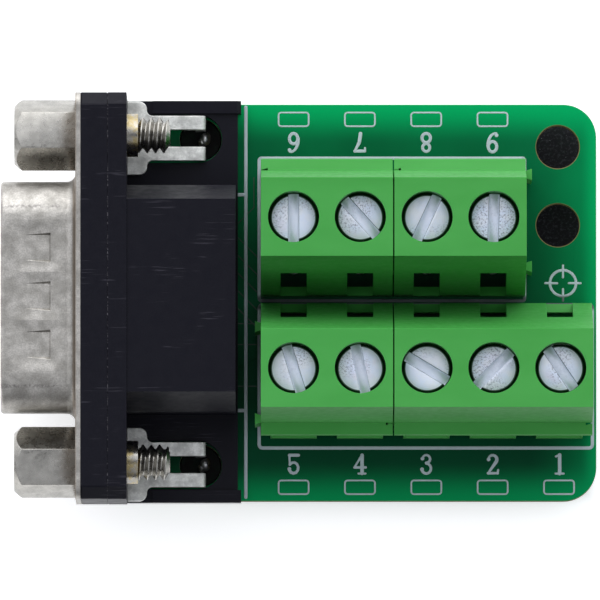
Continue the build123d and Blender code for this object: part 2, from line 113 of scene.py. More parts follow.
HOLE_PAIR = MOUNTS["board_fixing_holes"]
HOLE_RADIUS = HOLE_PAIR["dims"]["hole_r_mm"]
HOLE_MIDDLE = Vector(HOLE_PAIR["pos_m"]) / MM
HOLE_OFFSET = Vector((0.0, HOLE_PAIR["dims"]["spacing_y_mm"] / 2, 0.0))
FIXING_HOLES = (HOLE_MIDDLE - HOLE_OFFSET, HOLE_MIDDLE + HOLE_OFFSET)

SHELL_LOW, SHELL_HIGH = box("dsub_shell")
SHELL_REACH = 5.7
SHELL_HALF_HEIGHT = 4.6
SHELL_BEND = 6.86
SHELL_ROOT = SHELL_LOW.x + SHELL_REACH
SHELL_TOP = (SHELL_LOW.z + SHELL_HIGH.z) / 2 + SHELL_HALF_HEIGHT
DIMPLE_SIZE = 1.9
DIMPLE_PITCH = 3.7
DIMPLE_FROM_ROOT = 1.9
DIMPLE_END = SHELL_ROOT - DIMPLE_FROM_ROOT


# Sizes and colours that a user may change


def colour(name, description, value):
    """Colour property."""
    return bpy.props.FloatVectorProperty(
        name=name, description=description, default=value, size=3, subtype="COLOR", min=0.0, max=1.0
    )


def length(name, description, millimetres):
    """Length property with its default in millimetres."""
    return bpy.props.FloatProperty(
        name=name, description=description, default=millimetres * MM, unit="LENGTH", precision=5
    )


def number(name, description, value):
    """Plain number property."""
    return bpy.props.FloatProperty(name=name, description=description, default=value)


class AdapterBoardLook(bpy.types.PropertyGroup):
    """Solder mask, laminate and copper."""

    # Painted light: the mask is deep green on the -Y side and middle green on the +Y side, as if lit from
    # +Y.
    mask_deep: colour("Deep mask", "Mask on the side of poles 1 to 5", (0.0005, 0.062, 0.024))
    mask_mid: colour("Middle mask", "Mask on the side of poles 6 to 9", (0.001, 0.125, 0.042))
    # Painted light along the board's edges; the same colour also lightly tints the mask over copper.
    mask_bright: colour("Bright mask", "Mask at the board's edges", (0.0, 0.36, 0.105))
    speckle: colour("Speckle", "Fine specks in the mask", (0.0, 0.11, 0.06))
    laminate: colour("Laminate", "Bare laminate on edges and rims", (0.23, 0.19, 0.08))
    laminate_dark: colour("Dark laminate", "Fibres in the bare laminate", (0.15, 0.12, 0.05))
    # Painted light: how far the painted edge light reaches from the long edges and from the far end.
    edge_glow: length("Edge glow", "How far light enters from the long edges", 3.1)
    end_glow: length("End glow", "How far light enters from the far end", 1.3)
    rim: length("Hole rim", "Width of bare laminate round a fixing hole", 0.03)
    copper_lift: length("Copper lift", "Height of copper under the mask", 0.035)
    gap_pitch: length("Gap pitch", "Spacing along Y of the gaps between wide copper lanes", 1.36)
    gap_width: length("Gap width", "Width of the gaps between wide copper lanes", 0.11)
    edge_radius: length("Edge radius", "Rounding of the board's edges", 0.05)


class AdapterPrintLook(bpy.types.PropertyGroup):
    """Printed lines and numbers."""

    ink: colour("Ink", "Board print", (0.50, 0.58, 0.62))
    height: length("Ink height", "Thickness of the print", 0.02)
    line: length("Line", "Width of the outlines", 0.26)
    thin_line: length("Thin line", "Width of the lines of the marking boxes", 0.13)
    number_height: length("Number height", "Height of the pole numbers", 1.62)
    box_width: length("Box width", "Width of a blank marking box", 2.3)
    box_height: length("Box height", "Height of a blank marking box", 1.05)
    mark_radius: length("Mark radius", "Ring of the registration mark", 1.0)


class AdapterPlasticLook(bpy.types.PropertyGroup):
    """Mouldings."""

    black: colour("Black", "Connector plastic", (0.0038, 0.0038, 0.0078))
    black_light: colour("Light black", "Lighter grain in the black plastic", (0.0065, 0.0062, 0.0115))
    scratch: colour("Scratch", "Fine scratches in the black plastic", (0.07, 0.066, 0.085))
    # Pale spots along the seam between the two black layers: scratches with a painted edge highlight.
    worn_seam: colour("Worn seam", "Worn spots between the two black layers", (0.22, 0.21, 0.23))
    green: colour("Green", "Terminal plastic", (0.052, 0.31, 0.055))
    green_light: colour("Light green", "Paler flow marks", (0.066, 0.35, 0.070))
    edge_radius: length("Edge radius", "Rounding of moulded edges", 0.09)


class AdapterMetalLook(bpy.types.PropertyGroup):
    """Plated and tinned metal, solder and threads."""

    nickel: colour("Nickel", "Shell plating", (0.61, 0.585, 0.545))
    nickel_dark: colour("Dark nickel", "Duller patches of the shell", (0.36, 0.345, 0.315))
    bend_line: colour("Bend line", "Line along each bend of the shell", (0.12, 0.11, 0.11))
    # Painted reflection: a dark band at the shell's root, where the fillet reflects dark surroundings.
    shell_root: colour("Shell root", "Dull nickel at the shell's root", (0.24, 0.19, 0.145))
    jack: colour("Jack", "Jack socket plating", (0.45, 0.435, 0.40))
    stain: colour("Stain", "Flux stain on a jack socket's collar", (0.46, 0.36, 0.15))
    zinc: colour("Zinc", "Terminal screws", (0.74, 0.77, 0.84))
    zinc_blue: colour("Blue zinc", "Bluish clouds on the screws", (0.70, 0.76, 0.90))
    zinc_violet: colour("Violet zinc", "Violet clouds on the screws", (0.70, 0.66, 0.78))
    zinc_spots: colour("Zinc spots", "Dark spots on worn screw heads", (0.20, 0.21, 0.28))
    # Painted highlight on the floor of each screw's slot.
    slot_floor: colour("Slot floor", "Bright floor of a screw's slot", (0.82, 0.88, 1.0))
    slot_edge: colour("Slot edge", "Shade along a screw's slot", (0.10, 0.11, 0.13))
    head_rim: colour("Head rim", "Shade round a screw's head", (0.012, 0.045, 0.02))
    tin: colour("Tin", "Tinned sheet", (0.95, 0.955, 0.92))
    gold: colour("Gold", "Connector pins", (0.78, 0.60, 0.28))
    solder: colour("Solder", "Solder joints", (0.72, 0.73, 0.74))
    # Painted shade: colours of the dark discs that stand in for the shadow inside the locks' holes.
    flux: colour("Flux", "Burnt flux by the board locks", (0.0015, 0.002, 0.0015))
    flux_green: colour("Green flux", "Greenish patches in the flux", (0.002, 0.012, 0.006))
    edge_radius: length("Edge radius", "Rounding of metal edges", 0.05)
    hex_radius: length("Hex radius", "Rounding of the jack sockets' edges", 0.13)
    jack_pitch: length("Jack pitch", "Pitch of the jack threads", 0.635)
    jack_crest: length("Jack crest", "Outer radius of the jack threads", 1.36)
    screw_pitch: length("Screw pitch", "Pitch of the terminal screws", 0.45)


class AdapterStageLook(bpy.types.PropertyGroup):
    """Camera, floor and light."""

    image_width: number("Image width", "Width of the picture in pixels", 600.0)
    pixels_per_mm: number("Scale", "Pixels to a millimetre", 13.1)
    aim_x: length("Aim X", "Point at the picture's middle", 0.06)
    aim_y: length("Aim Y", "Point at the picture's middle", -0.098)
    aim_z: length("Aim Z", "Height at which the scale holds", 10.0)
    lean_x: number("Lean X", "Camera's lean along X, as a slope", 0.0)
    lean_y: number("Lean Y", "Camera's lean along Y, as a slope", -0.048)
    lens: number("Lens", "Focal length in millimetres", 1500.0)
    paper: colour("Paper", "Floor", (0.86, 0.86, 0.86))
    paper_shade: colour("Shaded paper", "Near floor, as it lights the adapter", (0.05, 0.05, 0.055))
    foam: colour("Foam", "Dark foam below the fixing holes", (0.005, 0.005, 0.008))
    foam_crumb: colour("Foam crumbs", "Lighter crumbs of the foam", (0.040, 0.040, 0.050))
    foam_speck: colour("Foam specks", "Pale specks on the foam", (0.30, 0.31, 0.33))
    foam_radius: length("Foam radius", "Radius of the foam below a fixing hole", 1.9)
    zenith: number("Zenith", "Strength of the sky overhead", 1.15)
    lens_shade: number("Lens shade", "Share of the sky that is left round the camera", 0.15)
    near_side: number("Near side", "Strength of the low sky towards -Y", 0.03)
    far_side: number("Far side", "Strength of the low sky towards +Y", 0.95)
    key_watts: number("Key", "Power of the key lamp", 2.9)


LOOKS = {
    "adapter_board": AdapterBoardLook,
    "adapter_print": AdapterPrintLook,
    "adapter_plastic": AdapterPlasticLook,
    "adapter_metal": AdapterMetalLook,
    "adapter_stage": AdapterStageLook,
}


def look_of(context, name):
    """A look's values, with colours as plain tuples."""
    group = getattr(context.scene, name)
    values = {}
    for key in LOOKS[name].__annotations__:
        value = getattr(group, key)
        values[key] = tuple(value) if hasattr(value, "__len__") else value
    return type("Look", (), values)


def dimmed(tone, share):
    """A darker colour."""
    return tuple(share * part for part in tone)


# Nodes


class Graph:
    """Adds nodes to one node tree."""

    def __init__(self, tree):
        self.tree = tree

    def feed(self, socket, value):
        """Gives a socket a constant, or links an output to it."""
        if isinstance(value, bpy.types.NodeSocket):
            self.tree.links.new(value, socket)
        else:
            socket.default_value = value

    def make(self, kind, inputs=None, **settings):
        """Adds a node with its settings and inputs; a list links several outputs to one input."""
        made = self.tree.nodes.new(kind)
        for key, value in settings.items():
            setattr(made, key, value)
        for key, value in (inputs or {}).items():
            for part in value if isinstance(value, list) else [value]:
                self.feed(made.inputs[key], part)
        return made

    def node(self, kind, inputs=None, **settings):
        """First output of a new node."""
        return self.make(kind, inputs, **settings).outputs[0]

    def axes(self, vector):
        """The X, Y and Z outputs of a vector."""
        return self.make("ShaderNodeSeparateXYZ", {0: vector}).outputs

    def maths(self, operation, *values):
        """Result of a Math node."""
        return self.node("ShaderNodeMath", dict(enumerate(values)), operation=operation)

    def plus(self, first, second):
        """Sum of two values."""
        return self.maths("ADD", first, second)

    def less(self, first, second):
        """First value less the second."""
        return self.maths("SUBTRACT", first, second)

    def times(self, first, second):
        """Product of two values."""
        return self.maths("MULTIPLY", first, second)

    def least(self, first, second):
        """Smaller of two values."""
        return self.maths("MINIMUM", first, second)

    def most(self, first, second):
        """Larger of two values."""
        return self.maths("MAXIMUM", first, second)

    def band(self, value, low, high, start=0.0, end=1.0):
        """Maps a value from low..high to start..end, clamped and smooth."""
        inputs = {"Value": value, "From Min": low, "From Max": high, "To Min": start, "To Max": end}
        return self.node("ShaderNodeMapRange", inputs, interpolation_type="SMOOTHSTEP")


class Finish(Graph):
    """One procedural material, built node by node; places and sizes are in millimetres."""

    def __init__(self, name, base, metallic=0.0, roughness=0.5):
        self.material = bpy.data.materials.new(name)
        self.material.use_nodes = True
        super().__init__(self.material.node_tree)
        self.shader = self.tree.nodes["Principled BSDF"]
        self.shade = base
        self.set("Base Color", (*base, 1.0))
        self.set("Metallic", metallic)
        self.set("Roughness", roughness)
        self.place = self.make("ShaderNodeTexCoord").outputs["Object"]

    def set(self, socket, value):
        """Sets or links one socket of the shader."""
        self.feed(self.shader.inputs[socket], value)

    def size(self, value):
        """A value without its sign."""
        return self.maths("ABSOLUTE", value)

    def off(self, value, place):
        """How far a coordinate is from a place."""
        return self.size(self.less(value, place * MM))

    def reach(self, first, second):
        """Length of a flat vector."""
        return self.maths("SQRT", self.plus(self.times(first, first), self.times(second, second)))

    def around(self, x, y, centre):
        """Flat distance from an upright axis."""
        return self.reach(self.less(x, centre.x * MM), self.less(y, centre.y * MM))

    def rise(self, value, low, high):
        """0 to 1 as a length goes from low to high."""
        return self.band(value, low * MM, high * MM)

    def fall(self, value, low, high):
        """1 to 0 as a length goes from low to high."""
        return self.band(value, low * MM, high * MM, 1.0, 0.0)

    def noise(self, size, detail=3.0, rough=0.55, place=None):
        """Noise with features of that size, from 0 to 1."""
        inputs = {"Scale": 1 / (size * MM), "Detail": detail, "Roughness": rough}
        inputs["Vector"] = place or self.place
        return self.node("ShaderNodeTexNoise", inputs)

    def clouds(self, size):
        """Soft patches."""
        return self.band(self.noise(size, 4.0, 0.6), 0.32, 0.72)

    def stretched(self, axis, ratio):
        """Object coordinates squeezed along an axis, for marks that run that way."""
        scale = tuple(1 / ratio if i == axis else 1.0 for i in range(3))
        return self.node("ShaderNodeMapping", {"Vector": self.place, "Scale": scale})

    def mix(self, share, first, second):
        """Blends two colours."""
        inputs = {0: share}
        for key, value in ((6, first), (7, second)):
            inputs[key] = value if isinstance(value, bpy.types.NodeSocket) else (*value, 1.0)
        return self.make("ShaderNodeMix", inputs, data_type="RGBA").outputs[2]

    def paint(self, mask, tone, strength=1.0):
        """Blends a colour over the base colour so far."""
        share = mask if strength == 1.0 else self.times(mask, strength)
        self.shade = self.mix(share, self.shade, tone)
        self.set("Base Color", self.shade)

    def uneven(self, size, low, high, half=0.2):
        """Roughness that wanders between two values."""
        self.set("Roughness", self.band(self.noise(size), 0.5 - half, 0.5 + half, low, high))

    def bump(self, height, depth, strength=1.0):
        """Relief of that depth, added over any relief so far."""
        inputs = {"Height": height, "Distance": depth * MM, "Strength": strength}
        for link in self.shader.inputs["Normal"].links:
            inputs["Normal"] = link.from_socket
        self.set("Normal", self.node("ShaderNodeBump", inputs))


# Finishes


def solder_mask(look, name, over_copper):
    """Green mask with painted light: lighter towards +Y and brighter at the board's edges; bare laminate
    shows on edges and hole rims.
    """
    deep_y, middle_y = -8.0, 9.5
    blur = 0.04
    finish = Finish(name, look.mask_deep, roughness=0.3)
    x, y = finish.axes(finish.place)[:2]
    far = finish.less(BOARD_HIGH.x * MM, x)
    side = finish.less(BOARD_HIGH.y * MM, finish.size(y))
    upper = finish.rise(y, deep_y, middle_y)
    # Painted light: glow brightens the mask near the long edges and the far end, more towards +Y.
    across = finish.band(side, 0.0, look.edge_glow, 1.0, 0.0)
    near_end = finish.times(finish.band(far, 0.0, look.end_glow, 1.0, 0.0), 0.5)
    from_end = finish.times(finish.band(far, 0.0, 4 * look.end_glow, 1.0, 0.0), 0.4)
    along = finish.plus(near_end, from_end)
    glow = finish.less(finish.plus(across, along), finish.times(across, along))
    glow = finish.times(glow, finish.plus(0.72, finish.times(upper, 0.28)))
    # Painted light: the mask goes from deep to middle green towards +Y, as if lit from that side.
    finish.paint(upper, look.mask_mid)
    finish.paint(finish.band(finish.noise(6.0, 2.0), 0.3, 0.7), dimmed(look.mask_deep, 0.5), 0.25)
    finish.paint(glow, look.mask_bright)
    if over_copper:
        finish.paint(0.1, look.mask_bright)
    finish.paint(finish.band(finish.noise(0.12, 2.0), 0.55, 0.75), look.speckle, 0.12)
    finish.set("Specular IOR Level", 0.1)
    if not over_copper:
        facing = finish.axes(finish.make("ShaderNodeNewGeometry").outputs["True Normal"])[2]
        bare = finish.band(finish.size(facing), 0.2, 0.5, 1.0, 0.0)
        rim = HOLE_RADIUS + look.rim / MM
        for hole in FIXING_HOLES:
            bare = finish.most(bare, finish.fall(finish.around(x, y, hole), rim, rim + blur))
        fibres = finish.noise(0.2, 2.0, place=finish.stretched(2, 0.2))
        finish.paint(bare, finish.mix(fibres, look.laminate, look.laminate_dark))
        finish.set("Roughness", finish.band(bare, 0.0, 1.0, 0.2, 0.75))
    weave = {"Vector": finish.place, "Scale": 300.0, "Distortion": 1.5}
    finish.bump(finish.node("ShaderNodeTexWave", weave, bands_direction="DIAGONAL"), 0.004, 0.3)
    finish.bump(finish.noise(0.5), 0.01, 0.35)
    return finish.material


def lane_gap(look):
    """Darker mask where no copper lies below it."""
    finish = Finish("lane_gap", look.mask_deep, roughness=0.3)
    finish.paint(finish.noise(0.8), dimmed(look.mask_deep, 0.4))
    return finish.material


def printed_ink(look):
    """Slightly blue white board ink, with painted shade in the narrow gap between the two rows."""
    gap_half, gap_edge = 0.35, 0.7
    gap_start, gap_dark = -3.5, -3.2
    finish = Finish("printed_ink", look.ink, 0.0, 0.55)
    x, y = finish.axes(finish.place)[:2]
    between = finish.fall(finish.size(y), gap_half, gap_edge)
    between = finish.times(between, finish.rise(x, gap_start, gap_dark))
    finish.paint(finish.noise(0.3, 2.0), dimmed(look.ink, 0.82))
    # Painted shade: the ink is darkened in the gap between the rows, where the two blocks shade it.
    finish.paint(between, dimmed(look.ink, 0.2))
    finish.bump(finish.noise(0.12), 0.008, 0.5)
    return finish.material


def black_moulding(look):
    """Black glass-filled plastic with fine scratches along X, and pale spots on the seam between its
    layers: scratches with a painted edge highlight.
    """
    scratch_ratio = 22.0
    seam_half = 0.06
    finish = Finish("black_moulding", look.black, 0.0, 0.46)
    lines = finish.noise(0.13, 2.0, 0.4, finish.stretched(0, scratch_ratio))
    where = finish.band(finish.noise(3.2, 2.0), 0.5, 0.64)
    scratch = finish.times(finish.band(lines, 0.6, 0.7), where)
    grain = finish.noise(0.1)
    finish.paint(finish.band(grain, 0.3, 0.8), look.black_light)
    finish.paint(scratch, look.scratch, 0.3)
    seam = finish.fall(finish.off(finish.axes(finish.place)[0], BRACKET_LOW.x), 0.0, seam_half)
    # Pale spots along the seam: scratches with a painted edge highlight.
    finish.paint(finish.times(seam, finish.band(finish.noise(0.14), 0.52, 0.64)), look.worn_seam, 0.7)
    finish.uneven(0.8, 0.38, 0.5)
    finish.set("Specular IOR Level", 0.13)
    finish.bump(scratch, 0.02, 0.6)
    finish.bump(grain, 0.006, 0.5)
    return finish.material


def green_moulding(look):
    """Green polyamide with pale flow marks and a fine matt skin."""
    finish = Finish("green_moulding", look.green, 0.0, 0.42)
    flow = finish.noise(4.0, 3.0, 0.5, finish.stretched(0, 3.0))
    finish.paint(finish.band(flow, 0.3, 0.7), look.green_light)
    finish.uneven(0.6, 0.38, 0.5)
    finish.set("Specular IOR Level", 0.16)
    finish.set("Subsurface Weight", 0.1)
    finish.set("Subsurface Radius", (0.4, 1.2, 0.4))
    finish.set("Subsurface Scale", 0.6 * MM)
    finish.bump(finish.noise(0.09), 0.006, 0.45)
    return finish.material


def plated(name, bright, dark, grain, roughness, pits):
    """Plated metal with fine grain and cloudy patches."""
    finish = Finish(name, dark, 1.0, roughness)
    finish.paint(finish.clouds(grain * 9), bright)
    finish.paint(finish.band(finish.noise(grain, 3.0, 0.7), 0.3, 0.7), dimmed(dark, 0.7), 0.3)
    finish.uneven(grain * 3, roughness - 0.08, roughness + 0.1, 0.25)
    finish.bump(finish.noise(grain, 3.0, 0.6), pits, 0.5)
    return finish.material


def drawn_shell(look):
    """Nickel on the drawn shell: pulled in round the dimples, with a line at each bend and a painted dark
    reflection at its root.
    """
    pull_reach, pull_depth = 1.15, 0.09
    line_half = 0.24
    line_end, line_stop = SHELL_ROOT - 1.3, SHELL_ROOT - 0.9
    root_x, root_half, root_blur = SHELL_ROOT - 0.08, 0.08, 0.2
    finish = Finish("nickel_shell", look.nickel_dark, 1.0, 0.36)
    x, y, z = finish.axes(finish.place)
    finish.paint(finish.clouds(1.2), look.nickel)
    fine = finish.band(finish.noise(0.11, 3.0, 0.75), 0.34, 0.66)
    finish.paint(fine, dimmed(look.nickel_dark, 0.62), 0.45)
    half = DIMPLE_SIZE / 2
    nearest = finish.least(finish.size(y), finish.off(finish.size(y), DIMPLE_PITCH))
    beside = finish.most(finish.less(nearest, half * MM), 0.0)
    before = finish.most(finish.less(finish.off(x, DIMPLE_END - half), half * MM), 0.0)
    pull = finish.rise(finish.reach(beside, before), 0.0, pull_reach)
    finish.bump(finish.times(pull, finish.rise(z, 0.0, SHELL_TOP)), pull_depth)
    line = finish.fall(finish.off(finish.size(y), SHELL_BEND), 0.0, line_half)
    line = finish.times(line, finish.band(finish.noise(0.2, 4.0), 0.38, 0.66))
    finish.paint(finish.times(line, finish.fall(x, line_end, line_stop)), look.bend_line, 0.6)
    # Painted reflection: a dark band along the shell's root.
    finish.paint(finish.fall(finish.off(x, root_x), root_half, root_blur), look.shell_root, 0.7)
    finish.uneven(0.4, 0.36, 0.52, 0.25)
    finish.bump(finish.noise(0.13, 3.0, 0.65), 0.02, 0.7)
    return finish.material


def stained_jack(look):
    """Plated jack socket whose collar, behind the plate, carries a flux stain."""
    stain_start, stain_end = BRACKET_LOW.x + 1.2, BRACKET_LOW.x + 2.2
    finish = Finish("stained_jack", dimmed(look.jack, 0.74), 1.0, 0.27)
    finish.paint(finish.clouds(1.1), look.jack)
    x = finish.axes(finish.place)[0]
    behind = finish.rise(x, stain_start, stain_start + 0.3)
    before = finish.fall(x, stain_end, stain_end + 0.4)
    spread = finish.band(finish.noise(0.8), 0.4, 0.6)
    finish.paint(finish.times(finish.times(behind, before), spread), look.stain, 0.8)
    finish.uneven(0.4, 0.2, 0.38, 0.25)
    finish.bump(finish.noise(0.14, 3.0, 0.6), 0.01, 0.5)
    return finish.material


def turned_zinc(look):
    """Zinc plating on a turned head, with rings, dents, coloured clouds, a painted highlight on the slot's
    floor, and painted shade by the slot and rim.
    """
    ring_pitch, ring_depth = 0.16, 0.003
    rim_start, rim_full = 1.62, 1.67
    top_edge = -0.3
    finish = Finish("turned_zinc", look.zinc, 1.0, 0.46)
    local = finish.make("ShaderNodeAttribute", attribute_name="from_axis").outputs["Vector"]
    right, up, height = finish.axes(local)
    out = finish.reach(right, up)
    finish.paint(finish.band(finish.noise(1.5, 4.0, 0.65), 0.35, 0.65), look.zinc_blue)
    finish.paint(finish.band(finish.noise(2.3), 0.54, 0.7), look.zinc_violet, 0.5)
    spots = finish.band(finish.noise(0.15, 3.0, 0.7), 0.5, 0.62)
    worn = finish.band(finish.noise(4.1, 1.0), 0.45, 0.57)
    finish.paint(finish.times(spots, worn), look.zinc_spots, 0.75)
    # Painted highlight: the slot's floor is painted brighter.
    finish.paint(finish.fall(height, -0.6, -0.4), look.slot_floor, 0.8)
    tilt = finish.axes(finish.make("ShaderNodeNewGeometry").outputs["True Normal"])[2]
    edge = finish.times(finish.band(tilt, 0.8, 0.97, 1.0, 0.0), finish.rise(height, top_edge, -0.1))
    finish.paint(edge, look.slot_edge, 0.85)
    rim = finish.times(finish.rise(out, rim_start, rim_full), finish.rise(height, top_edge, -0.25))
    finish.paint(rim, look.head_rim, 0.9)
    finish.uneven(0.4, 0.4, 0.56)
    rings = finish.maths("SINE", finish.times(out, math.tau / (ring_pitch * MM)))
    finish.bump(rings, ring_depth, 0.35)
    finish.bump(finish.noise(0.14, 3.0, 0.65), 0.012, 0.6)
    return finish.material


def wet_solder(look):
    """Solder with a smooth surface and a little flux haze."""
    finish = Finish("wet_solder", look.solder, 1.0, 0.34)
    haze = finish.band(finish.noise(0.5), 0.45, 0.65)
    finish.paint(haze, dimmed(look.solder, 0.75))
    finish.set("Roughness", finish.band(haze, 0.0, 1.0, 0.28, 0.48))
    finish.bump(finish.noise(0.24), 0.1, 0.9)
    return finish.material


def burnt_flux(look):
    """Painted shade: dark discs on the solder in the locks' holes, standing in for the shadow inside them.
    """
    finish = Finish("burnt_flux", look.flux, 0.0, 0.5)
    finish.paint(finish.band(finish.noise(0.7), 0.45, 0.65), look.flux_green)
    finish.set("Specular IOR Level", 0.15)
    finish.bump(finish.noise(0.3), 0.02, 0.5)
    return finish.material


def studio_paper(look):
    """White floor, dark below the board and with foam below its holes; it is see-through from below."""
    shade_outside, shade_inside = -0.5, 2.5
    foam_blur = 0.3
    near_y, far_y = -85.0, -45.0
    finish = Finish("studio_paper", look.paper_shade, 0.0, 0.9)
    x, y = finish.axes(finish.place)[:2]
    ends = finish.least(finish.less(x, BOARD_LOW.x * MM), finish.less(BOARD_HIGH.x * MM, x))
    sides = finish.less(BOARD_HIGH.y * MM, finish.size(y))
    dark = finish.rise(finish.least(ends, sides), shade_outside, shade_inside)
    foam_mask = 0.0
    radius = look.foam_radius / MM
    for hole in FIXING_HOLES:
        round_hole = finish.fall(finish.around(x, y, hole), radius, radius + foam_blur)
        foam_mask = finish.most(foam_mask, round_hole)
    foam = finish.mix(finish.band(finish.noise(0.22, 4.0, 0.7), 0.48, 0.68), look.foam, look.foam_crumb)
    foam = finish.mix(finish.band(finish.noise(0.17, 2.0), 0.7, 0.76), foam, look.foam_speck)
    rays = finish.make("ShaderNodeLightPath").outputs
    seen = finish.most(rays["Is Camera Ray"], rays["Is Glossy Ray"])
    seen = finish.most(seen, rays["Is Transmission Ray"])
    finish.paint(finish.most(seen, finish.rise(y, near_y, far_y)), look.paper)
    finish.paint(foam_mask, foam)
    glow = finish.times(seen, finish.less(1.0, finish.most(foam_mask, dark)))
    finish.set("Emission Color", (1.0, 1.0, 1.0, 1.0))
    finish.set("Emission Strength", finish.times(glow, 0.55))
    finish.set("Alpha", finish.less(1.0, finish.make("ShaderNodeNewGeometry").outputs["Backfacing"]))
    finish.bump(finish.noise(3.0), 0.02, 0.2)
    return finish.material


# Meshes

SHARP_TURN = math.radians(25.0)
SMOOTH_TURN = math.radians(32.0)
FLAT_TURN = math.radians(0.5)
ROUND_SEGMENTS = 2
WELD = 0.0005
NEAR = 0.02


def add_object(name, mesh):
    """Links a mesh as a new object at the origin."""
    made = bpy.data.objects.new(name, mesh)
    bpy.context.scene.collection.objects.link(made)
    return made


def drop(made):
    """Removes an object and its mesh."""
    mesh = made.data
    bpy.data.objects.remove(made)
    bpy.data.meshes.remove(mesh)


def saved(mesh, data):
    """Writes an edited mesh to a data block and frees it."""
    mesh.to_mesh(data)
    mesh.free()
    return data


def drawn_piece(name, draw):
    """New object from a function that draws into a mesh in millimetres."""
    mesh = bmesh.new()
    draw(mesh)
    mesh.transform(Matrix.Scale(MM, 4))
    return add_object(name, saved(mesh, bpy.data.meshes.new(name)))


def flattened(made):
    """Turns an object with modifiers into one with a plain mesh of the same name."""
    bpy.context.view_layer.update()
    depsgraph = bpy.context.evaluated_depsgraph_get()
    mesh = bpy.data.meshes.new_from_object(made.evaluated_get(depsgraph))
    name = made.name
    drop(made)
    return add_object(name, mesh)


def settle(made, material, body, slot, *replaced):
    """Coats a finished piece, rides it on its body and hides the nodes it stands for; the slot is not used.
    """
    made.data.materials.clear()
    made.data.materials.append(material)
    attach(made, body)
    if replaced:
        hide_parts(*replaced)


def rounded(node, radius, change=None):
    """Copy of a CAD node with its sharp edges rounded; change may edit the mesh in millimetres."""
    mesh = bmesh.new()
    mesh.from_mesh(frame["nodes"][node].data)
    mesh.transform(Matrix.Scale(1 / MM, 4))
    bmesh.ops.remove_doubles(mesh, verts=mesh.verts, dist=WELD)
    bmesh.ops.dissolve_limit(mesh, angle_limit=FLAT_TURN, verts=mesh.verts, edges=mesh.edges)
    bmesh.ops.connect_verts_concave(mesh, faces=mesh.faces)
    if change:
        change(mesh)
    weight = mesh.edges.layers.float.new("bevel_weight_edge")
    for edge in mesh.edges:
        turn = edge.calc_face_angle_signed(0.0)
        if turn > SHARP_TURN:
            edge[weight] = 1.0
        elif turn < -SHARP_TURN:
            edge.smooth = False
    made = add_object(node + "_finished", saved(mesh, bpy.data.meshes.new(node)))
    bevel = made.modifiers.new("rounded edges", "BEVEL")
    bevel.limit_method = "WEIGHT"
    bevel.width = radius / MM
    bevel.segments = ROUND_SEGMENTS
    weighted = made.modifiers.new("flat faces", "WEIGHTED_NORMAL")
    weighted.weight = 100
    weighted.keep_sharp = True
    made = flattened(made)
    made.data.transform(Matrix.Scale(MM, 4))
    return made


def dress(node, material, radius, change=None):
    """Rounds a CAD node, coats it and sets it in the node's place."""
    settle(rounded(node, radius, change), material, BODY_OF[node], SLOT_OF[node], node)


def joined(made, *others):
    """Adds the meshes of other objects to the first and removes those objects."""
    mesh = bmesh.new()
    mesh.from_mesh(made.data)
    for other in others:
        mesh.from_mesh(other.data)
        drop(other)
    saved(mesh, made.data)
    made.data.shade_smooth()
    made.data.set_sharp_from_angle(angle=SMOOTH_TURN)
    return made


def distance_round(vertex, centre, axis):
    """Distance of a vertex from an axis through the centre; axis is 0, 1 or 2."""
    gap = vertex.co - centre
    gap[axis] = 0.0
    return gap.length


def scale_round(vertex, centre, axis, share):
    """Moves a vertex to a share of its distance from an axis through the centre."""
    for i in range(3):
        if i != axis:
            vertex.co[i] = centre[i] + (vertex.co[i] - centre[i]) * share


# Node trees for what repeats or follows a path


class Recipe(Graph):
    """One geometry node tree with named inputs."""

    def __init__(self, name, *numbers):
        super().__init__(bpy.data.node_groups.new(name, "GeometryNodeTree"))
        face = self.tree.interface
        face.new_socket("Geometry", in_out="OUTPUT", socket_type="NodeSocketGeometry")
        face.new_socket("Geometry", in_out="INPUT", socket_type="NodeSocketGeometry")
        face.new_socket("Material", in_out="INPUT", socket_type="NodeSocketMaterial")
        for key in numbers:
            face.new_socket(key, in_out="INPUT", socket_type="NodeSocketFloat")
        self.given = self.make("NodeGroupInput").outputs
        self.result = self.make("NodeGroupOutput").inputs

    def attribute(self, name):
        """A float attribute of the points that come in."""
        return self.node("GeometryNodeInputNamedAttribute", {"Name": name}, data_type="FLOAT")

    def vector(self, x, y, z):
        """Vector from three values."""
        return self.node("ShaderNodeCombineXYZ", {0: x, 1: y, 2: z})

    def finish(self, geometry):
        """Ends the tree with real geometry in the given material."""
        real = self.node("GeometryNodeRealizeInstances", {0: geometry})
        coated = {"Geometry": real, "Material": self.given["Material"]}
        self.feed(self.result[0], self.node("GeometryNodeSetMaterial", coated))
        return self.tree


